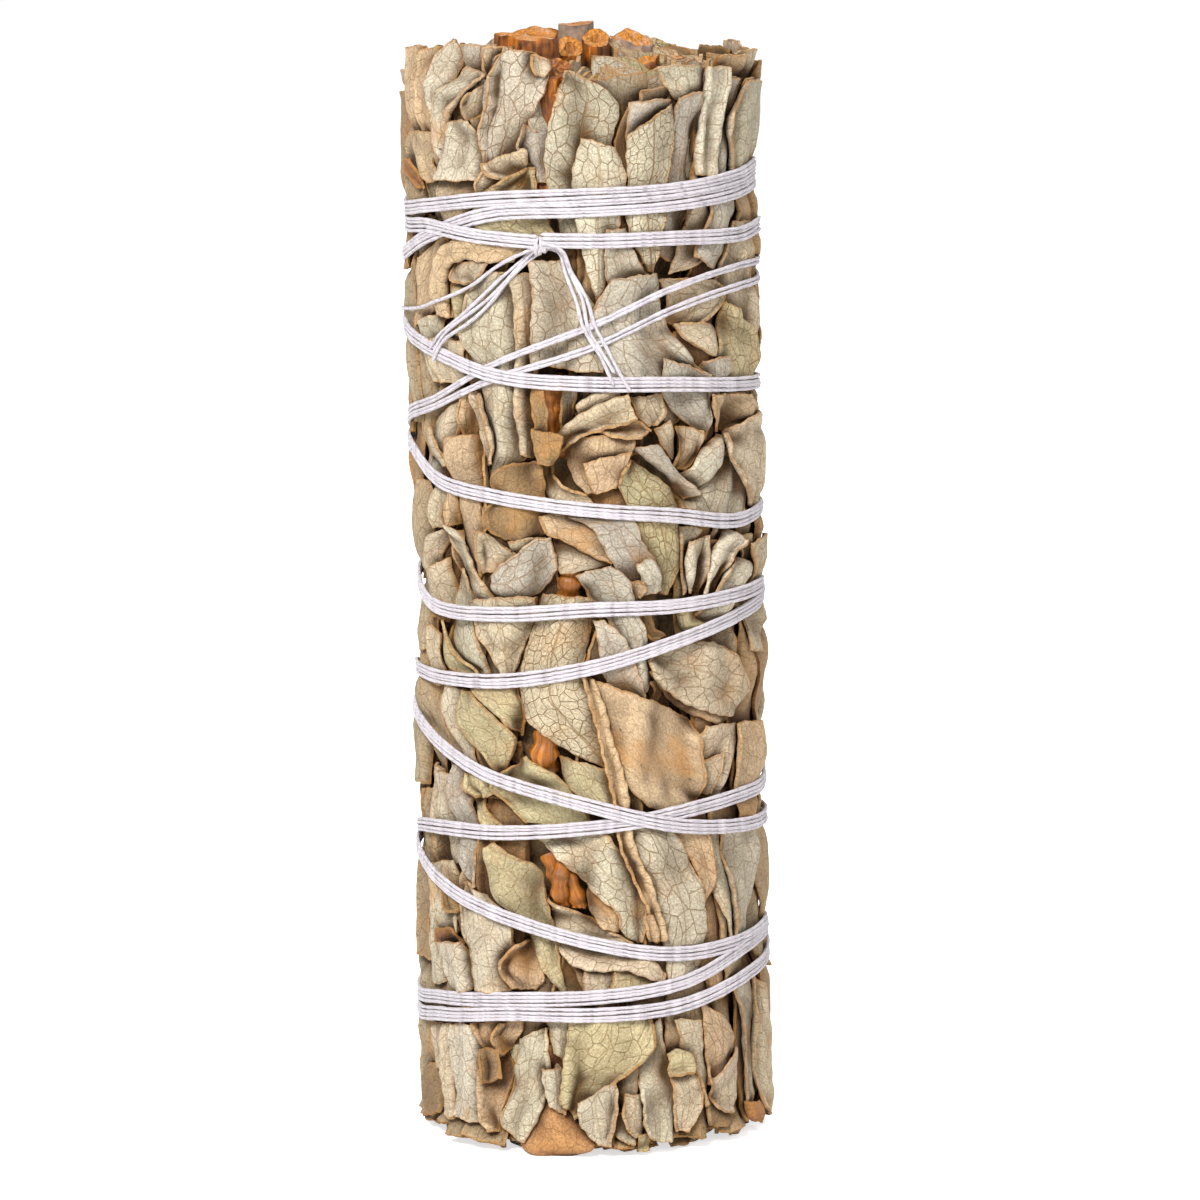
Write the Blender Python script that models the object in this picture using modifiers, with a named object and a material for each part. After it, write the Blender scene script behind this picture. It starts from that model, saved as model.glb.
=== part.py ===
# A bunch of dried white sage, wound with white cotton thread, standing on its cut ends.
# Lengths are in metres and +Z is up. The origin is the middle of the base.
# Angles are in degrees round the bunch: 0 is the front (-Y), and +90 is the right (+X).
import math
import random

import bmesh
import bpy
from mathutils import Vector

MM = 0.001

# Driving dimensions
CORE_RADIUS = 13.3 * MM         # packed middle of the sprigs, which their leaves stand out of
CORE_TOP = 94.0 * MM            # the leaves and stems rise past it
SPRIG_REACH = 14.6 * MM         # outside of the leaves that grow on the sprigs
LEAF_REACH = 15.7 * MM          # outside of the leaves that are laid round the sprigs
LEAF_THICKNESS = 0.65 * MM
CLEARANCE = 0.3 * MM            # between pieces that touch in the real bunch
CENTRE_RADIUS = 5.0 * MM        # the sprig in the middle
THREAD_CENTRE = 16.4 * MM       # distance of the thread's middle from the axis
THREAD_DEPTH = 0.8 * MM         # of one pass of the thread, through its strands
THREAD_HEIGHT = 1.3 * MM        # of one pass, three to five strands beside each other
THREAD_STEPS = 18               # straight runs in one turn
LOOSE_END_DEPTH = 0.7 * MM
LOOSE_END_HEIGHT = 1.0 * MM
RIM_HEIGHT = 98.0 * MM          # the leaves are cut off here
CUTTER_LOW = -5.0 * MM          # cutters reach past both ends of the bunch, and past its side
CUTTER_HIGH = 112.0 * MM
CUTTER_REACH = 22.0 * MM
WINDOW_DEPTH = 12.0 * MM        # of the gaps that show the thick stem, from this radius outwards
WINDOW_INSIDE = 9.0 * MM

# Each outer sprig fills the angles from one of these edges to the next.
SPRIG_EDGES = (-60.0, 4.0, 66.0, 122.0, 178.0, 240.0, 300.0)

# Each outer sprig draws its own leaves from one of these.
SPRIG_SEEDS = (80, 21, 22, 23, 64, 55)

# Stems: foot and top (x, y), height of the top, diameter, all in millimetres.
STEMS = {
    "stem_1": ((-2.8, -8.3), (-4.6, -7.4), 101.6, 5.5),
    "stem_2": ((4.6, -6.8), (5.4, -6.1), 99.8, 3.6),
    "stem_3": ((8.6, 0.6), (8.4, 1.4), 99.2, 2.8),
    "stem_4": ((4.2, 7.4), (4.4, 7.2), 98.6, 3.2),
    "stem_5": ((-4.0, 7.6), (-4.4, 7.4), 99.6, 3.8),
    "stem_6": ((-8.4, -0.4), (-8.6, 0.2), 98.8, 2.8),
    "stem_7": ((-0.8, -2.4), (-0.7, -2.6), 98.7, 2.1),
    "stem_8": ((1.9, 0.2), (1.7, 0.3), 99.4, 2.2),
    "stem_9": ((-0.8, 2.7), (-0.7, 2.7), 100.6, 2.6),
}
STEM_FOOT = 0.5 * MM
STEMS_OF_CENTRE = ("stem_7", "stem_8", "stem_9")

# Gaps in the front leaves, where the thick stem shows: angle, lowest and highest z, width in mm.
STEM_WINDOWS = (
    (-15.0, 93.5, 105.0, 2.6),
    (-13.0, 65.0, 70.0, 2.2),
    (-15.0, 36.0, 39.5, 2.4),
    (-13.0, 22.5, 27.5, 2.8),
)

# Leaves laid round the sprigs: angle and z of one end, angle and z of the other, width in mm,
# how full the first and the last end are (0 pointed, 1 cut square), and the leaf's colour.
LAID_LEAVES = {
    "leaf_top_left": ((-30.0, 87.0), (-18.0, 99.0), 3.6, 0.3, 0.8, "sage"),
    "leaf_top_front": ((0.5, 80.8), (2.0, 97.6), 5.4, 0.2, 0.8, "sage"),
    "leaf_top_right": ((23.0, 80.6), (23.0, 96.6), 4.6, 0.2, 0.9, "sage"),
    "leaf_top_edge": ((39.0, 84.0), (39.0, 97.2), 2.8, 0.7, 0.9, "sage"),
    "leaf_long_left": ((-28.0, 63.6), (-33.0, 81.4), 4.4, 0.4, 0.7, "sage"),
    "leaf_below_knot": ((-9.0, 71.6), (-9.0, 80.2), 4.4, 0.9, 0.5, "sage"),
    "leaf_diamond": ((12.0, 79.2), (39.0, 69.4), 5.2, 0.3, 0.3, "sage"),
    "leaf_curled": ((13.0, 67.8), (-10.0, 60.6), 4.0, 0.5, 0.5, "sage"),
    "leaf_yellow": ((16.0, 62.4), (31.0, 50.8), 4.0, 0.6, 0.2, "olive"),
    "leaf_right_pale": ((51.0, 67.4), (51.0, 57.0), 4.8, 0.6, 0.6, "sage"),
    "leaf_left_diagonal": ((-54.0, 60.0), (-36.0, 46.0), 3.6, 0.3, 0.4, "sage"),
    "leaf_oval": ((-22.0, 57.0), (-12.0, 51.4), 3.8, 0.7, 0.7, "sage"),
    "leaf_middle": ((-14.0, 49.6), (-3.0, 35.8), 5.2, 0.4, 0.3, "sage"),
    "leaf_tan": ((13.0, 45.0), (27.0, 31.4), 5.6, 0.5, 0.4, "tan"),
    "leaf_right_brown": ((36.0, 45.4), (62.0, 41.6), 3.4, 0.5, 0.6, "tan"),
    "leaf_olive": ((-14.0, 29.8), (14.0, 20.6), 3.8, 0.2, 0.4, "olive"),
    "leaf_low_left": ((-38.0, 28.6), (-16.0, 15.6), 3.4, 0.4, 0.3, "olive"),
    "leaf_low_right": ((29.0, 29.4), (29.0, 13.0), 4.4, 0.3, 0.7, "sage"),
    "leaf_foot_front": ((6.0, 14.0), (2.0, 2.8), 4.8, 0.9, 0.2, "olive"),
    "leaf_foot_brown": ((-17.0, 9.6), (-17.0, 0.6), 4.6, 0.3, 0.5, "brown"),
    "leaf_left_top": ((-66.0, 62.0), (-62.0, 93.0), 5.6, 0.4, 0.6, "sage"),
    "leaf_left_foot": ((-63.0, 12.0), (-66.0, 44.0), 5.6, 0.6, 0.3, "tan"),
    "leaf_right_top": ((61.0, 70.0), (59.0, 96.4), 5.6, 0.3, 0.8, "sage"),
    "leaf_right_foot": ((56.0, 3.0), (57.0, 37.0), 5.8, 0.6, 0.3, "olive"),
}
BACK_LEAF_COLUMNS = (80.0, 107.0, 134.0, 161.0, 188.0, 215.0, 242.0, 269.0)
BACK_LEAF_LENGTH = 34.0
BACK_LEAF_WIDTH = 6.2

# Heights in mm of each turn of the thread at these angles. A turn goes round by the back to
# the next one's first height.
TURN_ANGLES = (-90.0, -45.0, 0.0, 45.0, 90.0)
TURNS = (
    (84.8, 83.8, 83.2, 82.9, 83.0),
    (74.4, 71.6, 70.5, 69.7, 68.6),
    (63.5, 60.5, 59.1, 57.5, 57.3),
    (51.5, 49.5, 50.2, 50.1, 50.0),
    (39.0, 35.7, 32.4, 29.5, 28.6),
    (26.0, 23.3, 19.8, 18.4, 18.6),
    (12.7, 14.2, 14.8, 16.8, 18.0),
    (10.9, 12.5, 13.2, 14.4, 16.2),
    (28.0, 29.5, 30.4, 31.4, 32.3),
    (43.0, 43.1, 44.8, 47.4, 49.5),
    (66.0, 70.0, 74.8, 79.1, 79.0),
    (80.8, 84.9, 85.8, 86.2, 86.8),
    (85.3, 86.6, 87.3, 87.8, 88.4),
    (83.4, 83.6, 83.0, 82.9, 82.9),
)
# Stretches of the route, in turns. No stretch crosses itself, and they are fused where they cross.
THREAD_STRETCHES = ((0.2, 5.75), (5.7, 6.75), (6.7, 11.75), (11.7, 12.75), (12.7, 13.2))
KNOT_ANGLE = -13.0
KNOT_HEIGHT = 82.9
KNOT_SIZE = 1.1
# Loose ends from the knot, and the single strand that leaves it to the left: angle and z in mm.
LOOSE_ENDS = {
    "left_end": ((-13.0, 82.8), (-23.0, 80.4), (-32.0, 78.0), (-41.0, 76.0), (-59.0, 71.9)),
    "right_end": ((-13.0, 82.8), (-4.0, 80.4), (1.0, 76.4), (7.0, 73.0), (14.0, 69.4)),
    "lone_strand": ((-13.0, 82.8), (-33.0, 79.9), (-60.0, 77.0), (-90.0, 74.9)),
}

COLOURS = {
    "sage": (0.47, 0.43, 0.34),
    "olive": (0.44, 0.40, 0.22),
    "tan": (0.42, 0.31, 0.19),
    "brown": (0.34, 0.20, 0.09),
    "wood": (0.42, 0.20, 0.05),
    "thread": (0.83, 0.80, 0.84),
}


def clear_scene():
    for old in list(bpy.data.objects):
        bpy.data.objects.remove(old)


def new_collection(name):
    collection = bpy.data.collections.new(name)
    bpy.context.scene.collection.children.link(collection)
    return collection


def new_material(name, colour, roughness):
    material = bpy.data.materials.new(name)
    material.use_nodes = True
    shader = material.node_tree.nodes["Principled BSDF"]
    shader.inputs["Base Color"].default_value = (*colour, 1.0)
    shader.inputs["Roughness"].default_value = roughness
    shader.inputs["Metallic"].default_value = 0.0
    return material


def new_object(name, data, collection):
    piece = bpy.data.objects.new(name, data)
    collection.objects.link(piece)
    return piece


def round_point(angle, height, radius):
    turn = math.radians(angle)
    return Vector((radius * math.sin(turn), -radius * math.cos(turn), height))


def evaluated_mesh(piece):
    bpy.context.view_layer.update()
    depsgraph = bpy.context.evaluated_depsgraph_get()
    return bpy.data.meshes.new_from_object(piece.evaluated_get(depsgraph))


def apply_modifiers(piece):
    mesh = evaluated_mesh(piece)
    piece.modifiers.clear()
    piece.data = mesh


def curve_to_mesh(curve_piece):
    # The caps of a curve are loose, so they are welded to its side.
    mesh = evaluated_mesh(curve_piece)
    shape = bmesh.new()
    shape.from_mesh(mesh)
    bmesh.ops.remove_doubles(shape, verts=shape.verts, dist=0.00001)
    bmesh.ops.recalc_face_normals(shape, faces=shape.faces)
    shape.to_mesh(mesh)
    shape.free()
    name = curve_piece.name
    collection = curve_piece.users_collection[0]
    place = curve_piece.matrix_world.copy()
    bpy.data.objects.remove(curve_piece)
    piece = new_object(name, mesh, collection)
    piece.matrix_world = place
    return piece


def keep_main_body(piece):
    # Drops loose scraps, and the walls of hollows that fusing sealed.
    shape = bmesh.new()
    shape.from_mesh(piece.data)
    left = set(shape.verts)
    bodies = []
    while left:
        body = set()
        edge_of_search = [left.pop()]
        while edge_of_search:
            vertex = edge_of_search.pop()
            body.add(vertex)
            for edge in vertex.link_edges:
                other = edge.other_vert(vertex)
                if other in left:
                    left.remove(other)
                    edge_of_search.append(other)
        bodies.append(body)
    bodies.sort(key=len, reverse=True)
    for body in bodies[1:]:
        bmesh.ops.delete(shape, geom=list(body), context="VERTS")
    shape.to_mesh(piece.data)
    shape.free()


def empty_collection(collection):
    for piece in list(collection.objects):
        bpy.data.objects.remove(piece)
    bpy.data.collections.remove(collection)


def apply_boolean(piece, operation, cutter=None, cutters=None):
    # All the pieces are closed bodies, which this solver needs, and it fuses many of them at once.
    boolean = piece.modifiers.new(operation.lower(), "BOOLEAN")
    boolean.operation = operation
    boolean.solver = "MANIFOLD"
    if cutters is None:
        boolean.object = cutter
    else:
        boolean.operand_type = "COLLECTION"
        boolean.collection = cutters
    apply_modifiers(piece)


def blade_width(along, full_start, full_end):
    # One across the middle, narrowing to each end by how pointed that end is.
    if along < 0.5:
        fullness = full_start
    else:
        fullness = full_end
    from_end = min(along, 1.0 - along) * 2.0
    return fullness + (1.0 - fullness) * math.sin(0.5 * math.pi * max(from_end, 0.12))


def add_blade(name, collection, start, end, width, fullness, radius_at, across=3, along=5):
    # A leaf is a grid laid on a cylinder. Its long axis runs from start to end, which are
    # (angle, z in mm), and radius_at gives its outside at (-1..1 across, 0..1 along).
    shape = bmesh.new()
    bmesh.ops.create_grid(shape, x_segments=across - 1, y_segments=along - 1, size=1.0)
    reference = LEAF_REACH
    arc_start = math.radians(start[0]) * reference
    arc_end = math.radians(end[0]) * reference
    run = Vector((arc_end - arc_start, (end[1] - start[1]) * MM))
    side = Vector((run.y, -run.x)).normalized()
    for vertex in shape.verts:
        u = vertex.co.x
        v = 0.5 * (vertex.co.y + 1.0)
        half = 0.5 * width * MM * blade_width(v, *fullness)
        arc = arc_start + run.x * v + side.x * u * half
        height = start[1] * MM + run.y * v + side.y * u * half
        vertex.co = round_point(math.degrees(arc / reference), height, radius_at(u, v))
    middle = round_point(0.5 * (start[0] + end[0]), 0.0, 1.0)
    bmesh.ops.triangulate(shape, faces=shape.faces)
    shape.normal_update()
    facing = sum(face.normal.dot(middle) for face in shape.faces)
    if facing < 0.0:
        bmesh.ops.reverse_faces(shape, faces=shape.faces)
    mesh = bpy.data.meshes.new(name)
    shape.to_mesh(mesh)
    shape.free()
    piece = new_object(name, mesh, collection)
    solidify = piece.modifiers.new("thickness", "SOLIDIFY")
    solidify.thickness = LEAF_THICKNESS
    solidify.offset = -1.0
    apply_modifiers(piece)
    return piece


def add_upright_roll(name, collection, centre, radius, start_angle, sweep, low, high):
    # A rolled leaf that stands upright round a stem, as part of a tube.
    shape = bmesh.new()
    bmesh.ops.create_grid(shape, x_segments=5, y_segments=1, size=1.0)
    for vertex in shape.verts:
        angle = start_angle + sweep * 0.5 * (vertex.co.x + 1.0)
        slope = 1.0 + 0.012 * math.sin(math.radians(angle) * 2.0)
        height = low if vertex.co.y < 0.0 else high * slope
        vertex.co = round_point(angle, height, radius) + Vector((centre[0], centre[1], 0.0))
    bmesh.ops.triangulate(shape, faces=shape.faces)
    mesh = bpy.data.meshes.new(name)
    shape.to_mesh(mesh)
    shape.free()
    piece = new_object(name, mesh, collection)
    solidify = piece.modifiers.new("thickness", "SOLIDIFY")
    solidify.thickness = LEAF_THICKNESS
    solidify.offset = 0.0
    apply_modifiers(piece)
    return piece


def add_cylinder(name, collection, radius, low, high, sides):
    shape = bmesh.new()
    bmesh.ops.create_cone(shape, cap_ends=True, segments=sides, radius1=radius, radius2=radius,
                          depth=high - low)
    bmesh.ops.translate(shape, verts=shape.verts, vec=(0.0, 0.0, 0.5 * (low + high)))
    mesh = bpy.data.meshes.new(name)
    shape.to_mesh(mesh)
    shape.free()
    return new_object(name, mesh, collection)


def add_sector(name, collection, angle_from, angle_to, inner, outer, low, high):
    # The space of one sprig: a pie slice with its point cut off, clear of its neighbours.
    curve = bpy.data.curves.new(name, "CURVE")
    curve.dimensions = "2D"
    curve.fill_mode = "BOTH"
    curve.extrude = 0.5 * (high - low)
    steps = 4
    middle = math.radians(0.5 * (angle_from + angle_to))
    half = math.radians(0.5 * (angle_to - angle_from))
    shift = 0.5 * CLEARANCE / math.sin(half)
    points = []
    for radius, order in ((inner, range(steps + 1)), (outer, range(steps, -1, -1))):
        for step in order:
            angle = angle_from + (angle_to - angle_from) * step / steps
            points.append(round_point(angle, 0.0, radius))
    spline = curve.splines.new("POLY")
    spline.points.add(len(points) - 1)
    spline.use_cyclic_u = True
    for point, place in zip(spline.points, points):
        point.co = (place.x, place.y, 0.0, 1.0)
    piece = new_object(name, curve, collection)
    piece.location = (shift * math.sin(middle), -shift * math.cos(middle), 0.5 * (low + high))
    return curve_to_mesh(piece)


def add_stem(name, collection, extra_radius, low, high):
    # A stem leans a little from its foot to its top. The same path, wider, cuts its hole.
    foot, top, top_height, diameter = STEMS[name]
    foot_place = Vector((foot[0] * MM, foot[1] * MM, 0.0))
    lean = Vector((top[0] * MM, top[1] * MM, top_height * MM)) - foot_place
    curve = bpy.data.curves.new(name, "CURVE")
    curve.dimensions = "3D"
    curve.bevel_depth = 0.5 * diameter * MM + extra_radius
    curve.bevel_resolution = 2
    curve.use_fill_caps = True
    spline = curve.splines.new("POLY")
    spline.points.add(1)
    for point, height in zip(spline.points, (low, high)):
        place = foot_place + lean * (height / lean.z)
        point.co = (*place, 1.0)
    return curve_to_mesh(new_object(name, curve, collection))


def add_window(name, collection, angle, low, high, width):
    # A cutter for a gap in the leaves, from the thick stem outwards.
    shape = bmesh.new()
    bmesh.ops.create_cube(shape, size=1.0)
    bmesh.ops.scale(shape, verts=shape.verts, vec=(width * MM, WINDOW_DEPTH, (high - low) * MM))
    mesh = bpy.data.meshes.new(name)
    shape.to_mesh(mesh)
    shape.free()
    piece = new_object(name, mesh, collection)
    piece.location = round_point(angle, 0.5 * (low + high) * MM, WINDOW_INSIDE + 0.5 * WINDOW_DEPTH)
    piece.rotation_euler = (0.0, 0.0, math.radians(angle))
    return piece


def stem_centre(name, height):
    foot, top, top_height, _ = STEMS[name]
    share = height / (top_height * MM)
    x = foot[0] + (top[0] - foot[0]) * share
    y = foot[1] + (top[1] - foot[1]) * share
    return x * MM, y * MM


def sprig_blades(number, collection, angle_from, angle_to):
    # Leaves in three columns. Each is sunk in the core at its root and rises to its tip, so
    # that one leaf's tip covers the next one's root.
    draw = random.Random(SPRIG_SEEDS[number - 1])
    width_of_column = (angle_to - angle_from) / 3.0
    root_radius = CORE_RADIUS - 0.05 * MM
    for column in range(3):
        centre = angle_from + width_of_column * (column + 0.5)
        root = -9.0 + 7.0 * column + draw.uniform(-1.5, 1.5)
        row = 0
        while root < 86.0:
            length = draw.uniform(35.0, 40.0)
            tip = min(root + length, RIM_HEIGHT / MM + draw.uniform(-2.2, 1.0))
            low = max(root, draw.uniform(0.4, 2.0))
            lean = draw.uniform(-7.0, 7.0)
            lift = draw.uniform(0.0, 0.3) * MM
            rise = SPRIG_REACH - root_radius - 0.2 * MM

            # The lowest leaves stand clear of the core over their whole length.
            sunk = 0.45 if row == 0 else 0.0

            def radius_at(u, v, lift=lift, rise=rise, sunk=sunk):
                level = sunk + (1.0 - sunk) * v ** 0.8
                return min(root_radius + rise * level + lift * u * u, SPRIG_REACH)

            add_blade(f"blade_{column}_{row}", collection, (centre - lean, low), (centre + lean, tip),
                      draw.uniform(6.2, 7.4), (0.75, 0.3), radius_at)
            root += 31.0
            row += 1


def make_sprig(number, parts, cutters, angle_from, angle_to, stem, material):
    name = f"sprig_{number}_leaves"
    leaves = new_collection("leaves of " + name)
    sprig_blades(number, leaves, angle_from, angle_to)
    hole_radius = 0.5 * STEMS[stem][3] * MM + CLEARANCE
    middle = stem_centre(stem, RIM_HEIGHT)
    facing = 0.5 * (angle_from + angle_to)
    rolls = ((0.55, -150.0, 215.0, -0.2), (1.75, 10.0, 190.0, 0.6))
    for index, (gap, start, sweep, above) in enumerate(rolls):
        add_upright_roll(f"roll_{index}", leaves, middle, hole_radius + gap * MM + 0.3 * MM,
                         facing + start, sweep, CORE_TOP - 3.0 * MM, RIM_HEIGHT + above * MM)
    piece = add_cylinder(name, parts, CORE_RADIUS, 0.0, CORE_TOP, 48)
    sector = add_sector("sector_" + name, cutters, angle_from, angle_to,
                        CENTRE_RADIUS + CLEARANCE, CUTTER_REACH, CUTTER_LOW, CUTTER_HIGH)
    holes = new_collection("holes of " + name)
    add_stem(stem, holes, CLEARANCE, CUTTER_LOW, CUTTER_HIGH).name = "hole_" + stem
    if number == 1:
        for index, window in enumerate(STEM_WINDOWS):
            add_window(f"window_{index}", holes, *window)
    apply_boolean(piece, "UNION", cutters=leaves)
    apply_boolean(piece, "INTERSECT", cutter=sector)
    apply_boolean(piece, "DIFFERENCE", cutters=holes)
    keep_main_body(piece)
    empty_collection(leaves)
    empty_collection(holes)
    piece.data.materials.clear()
    piece.data.materials.append(material)


def make_centre_sprig(parts, material):
    name = "sprig_7_leaves"
    leaves = new_collection("leaves of " + name)
    for index, (start, sweep, top) in enumerate(((20.0, 130.0, 98.6), (175.0, 150.0, 99.2))):
        add_upright_roll(f"roll_{index}", leaves, (0.0, 0.0), CENTRE_RADIUS - 0.4 * MM, start, sweep,
                         CORE_TOP - 2.0 * MM, top * MM)
    piece = add_cylinder(name, parts, CENTRE_RADIUS, 0.0, CORE_TOP + 1.5 * MM, 32)
    holes = new_collection("holes of " + name)
    for stem in STEMS_OF_CENTRE:
        add_stem(stem, holes, CLEARANCE, CUTTER_LOW, CUTTER_HIGH).name = "hole_" + stem
    apply_boolean(piece, "UNION", cutters=leaves)
    apply_boolean(piece, "DIFFERENCE", cutters=holes)
    keep_main_body(piece)
    empty_collection(leaves)
    empty_collection(holes)
    piece.data.materials.clear()
    piece.data.materials.append(material)


def make_stems(parts, material):
    for name, (_, _, top_height, _) in STEMS.items():
        stem = add_stem(name, parts, 0.0, STEM_FOOT, top_height * MM)
        stem.data.materials.clear()
        stem.data.materials.append(material)
        stem.data.shade_smooth()
        stem.data.set_sharp_from_angle(angle=math.radians(50.0))


def laid_radius(ripple):
    # A laid leaf is a little hollow along its middle, and its edges ripple.
    def radius_at(u, v):
        wave = 0.5 + 0.5 * math.sin(v * 7.0 + ripple + 2.0 * u)
        return LEAF_REACH - 0.15 * MM * wave * abs(u) - 0.05 * MM
    return radius_at


def make_laid_leaves(parts, materials):
    leaves = dict(LAID_LEAVES)
    draw = random.Random(7)
    for number, column in enumerate(BACK_LEAF_COLUMNS):
        low = 2.0 + (number % 2) * 9.0
        for row in range(2):
            lean = draw.uniform(-5.0, 5.0)
            foot = low + row * (BACK_LEAF_LENGTH + 8.0)
            ends = ((column - lean, foot), (column + lean, foot + BACK_LEAF_LENGTH))
            colour = draw.choice(("sage", "sage", "olive", "tan"))
            name = f"leaf_back_{number + 1}_{row + 1}"
            leaves[name] = (*ends, BACK_LEAF_WIDTH, 0.6, 0.3, colour)
    for name, (start, end, width, full_start, full_end, colour) in leaves.items():
        piece = add_blade(name, parts, start, end, width, (full_start, full_end),
                          laid_radius(draw.uniform(0.0, 6.0)), across=4, along=5)
        piece.data.materials.append(materials[colour])


def thread_height(turns):
    # Height after this many turns. The front follows the listed heights, and the back runs
    # evenly on to the next turn. Both are smoothed by a cubic through the neighbours.
    knots = []
    for turn, heights in enumerate(TURNS):
        for angle, height in zip(TURN_ANGLES, heights):
            knots.append((turn + (angle + 90.0) / 360.0, height))
    last = len(knots) - 1
    place = 0
    while place < last - 1 and knots[place + 1][0] < turns:
        place += 1
    (x1, y1), (x2, y2) = knots[place], knots[place + 1]
    x0, y0 = knots[max(place - 1, 0)]
    x3, y3 = knots[min(place + 2, last)]
    slope_1 = (y2 - y0) / max(x2 - x0, 0.001)
    slope_2 = (y3 - y1) / max(x3 - x1, 0.001)
    share = (turns - x1) / (x2 - x1)
    span = x2 - x1
    square = share * share
    cube = square * share
    height = (2.0 * cube - 3.0 * square + 1.0) * y1 + (3.0 * square - 2.0 * cube) * y2
    return height + span * ((cube - 2.0 * square + share) * slope_1 + (cube - square) * slope_2)


def add_thread_run(name, collection, profile, route, radius):
    curve = bpy.data.curves.new(name, "CURVE")
    curve.dimensions = "3D"
    curve.bevel_mode = "OBJECT"
    curve.bevel_object = profile
    curve.use_fill_caps = True
    curve.twist_mode = "Z_UP"
    spline = curve.splines.new("POLY")
    spline.points.add(len(route) - 1)
    for point, (angle, height) in zip(spline.points, route):
        point.co = (*round_point(angle, height * MM, radius), 1.0)
    return curve_to_mesh(new_object(name, curve, collection))


def thread_profile(name, cutters, depth, height):
    # Six-sided section of one pass, deeper round the bunch than it is thick.
    curve = bpy.data.curves.new(name, "CURVE")
    curve.dimensions = "2D"
    spline = curve.splines.new("POLY")
    sides = 6
    spline.points.add(sides - 1)
    spline.use_cyclic_u = True
    reach = 0.5 * height / math.sin(math.radians(60.0))
    for number, point in enumerate(spline.points):
        angle = math.radians(60.0 * number)
        point.co = (0.5 * depth * math.cos(angle), reach * math.sin(angle), 0.0, 1.0)
    profile = new_object(name, curve, cutters)
    profile.hide_render = True
    profile.display_type = "WIRE"
    return profile


def make_thread(parts, cutters, material):
    wide = thread_profile("pass_section", cutters, THREAD_DEPTH, THREAD_HEIGHT)
    narrow = thread_profile("loose_end_section", cutters, LOOSE_END_DEPTH, LOOSE_END_HEIGHT)
    passes = new_collection("passes of thread")
    for number, (start, stop) in enumerate(THREAD_STRETCHES):
        # Each stretch has its corners halfway between those of the one before.
        offset = 0.5 * (number % 2)
        first = math.ceil(start * THREAD_STEPS - offset)
        last = math.floor(stop * THREAD_STEPS - offset)
        route = []
        for step in range(first, last + 1):
            turns = (step + offset) / THREAD_STEPS
            route.append((360.0 * turns - 90.0, thread_height(turns)))
        add_thread_run(f"stretch_{number}", passes, wide, route,
                       THREAD_CENTRE - 0.02 * MM * (number % 3))
    for number, (name, route) in enumerate(LOOSE_ENDS.items()):
        add_thread_run(name, passes, narrow, route, THREAD_CENTRE + 0.03 * MM * (number + 1))
    # The knot is a flattened lump that the loose ends come out of.
    shape = bmesh.new()
    bmesh.ops.create_icosphere(shape, subdivisions=1, radius=KNOT_SIZE * MM)
    bmesh.ops.scale(shape, verts=shape.verts, vec=(1.0, 0.55, 0.9))
    knot_centre = round_point(KNOT_ANGLE, KNOT_HEIGHT * MM, THREAD_CENTRE + 0.12 * MM)
    bmesh.ops.translate(shape, verts=shape.verts, vec=knot_centre)
    mesh = bpy.data.meshes.new("thread")
    shape.to_mesh(mesh)
    shape.free()
    thread = new_object("thread", mesh, parts)
    apply_boolean(thread, "UNION", cutters=passes)
    keep_main_body(thread)
    empty_collection(passes)
    thread.data.materials.clear()
    thread.data.materials.append(material)


def main():
    clear_scene()
    parts = new_collection("sage_bunch")
    cutters = new_collection("cutters")
    materials = {name: new_material(name, colour, 0.8) for name, colour in COLOURS.items()}
    outer_stems = [name for name in STEMS if name not in STEMS_OF_CENTRE]
    for number, stem in enumerate(outer_stems, start=1):
        make_sprig(number, parts, cutters, SPRIG_EDGES[number - 1], SPRIG_EDGES[number], stem,
                   materials["sage"])
    make_centre_sprig(parts, materials["sage"])
    make_stems(parts, materials["wood"])
    make_laid_leaves(parts, materials)
    make_thread(parts, cutters, materials["thread"])
    for cutter in cutters.objects:
        cutter.hide_render = True
        cutter.display_type = "WIRE"


main()
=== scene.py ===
import math

import bpy
import numpy as np
from mathutils import Matrix, Vector


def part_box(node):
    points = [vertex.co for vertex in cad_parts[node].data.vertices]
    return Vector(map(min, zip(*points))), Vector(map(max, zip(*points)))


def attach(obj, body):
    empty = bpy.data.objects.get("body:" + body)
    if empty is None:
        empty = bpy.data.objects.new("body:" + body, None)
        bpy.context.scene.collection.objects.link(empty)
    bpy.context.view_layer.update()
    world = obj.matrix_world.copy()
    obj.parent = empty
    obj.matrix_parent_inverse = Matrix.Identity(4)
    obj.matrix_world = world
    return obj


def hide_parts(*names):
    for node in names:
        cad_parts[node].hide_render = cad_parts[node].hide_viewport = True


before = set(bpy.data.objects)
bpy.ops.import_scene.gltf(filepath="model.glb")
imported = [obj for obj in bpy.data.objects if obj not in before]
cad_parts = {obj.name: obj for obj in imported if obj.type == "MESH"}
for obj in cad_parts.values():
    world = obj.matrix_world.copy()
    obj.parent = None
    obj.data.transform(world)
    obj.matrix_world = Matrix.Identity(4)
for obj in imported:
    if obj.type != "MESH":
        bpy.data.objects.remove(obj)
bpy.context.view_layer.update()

# A bunch of dried white sage. Lengths here are in millimetres until a mesh is made.
# Round the bunch, an angle of 0 is the front (-Y) and +90 is the right (+X). A place on its
# surface is (s, z): s is the arc from the front at the bunch's radius, and z the height.
mm = 0.001

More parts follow.
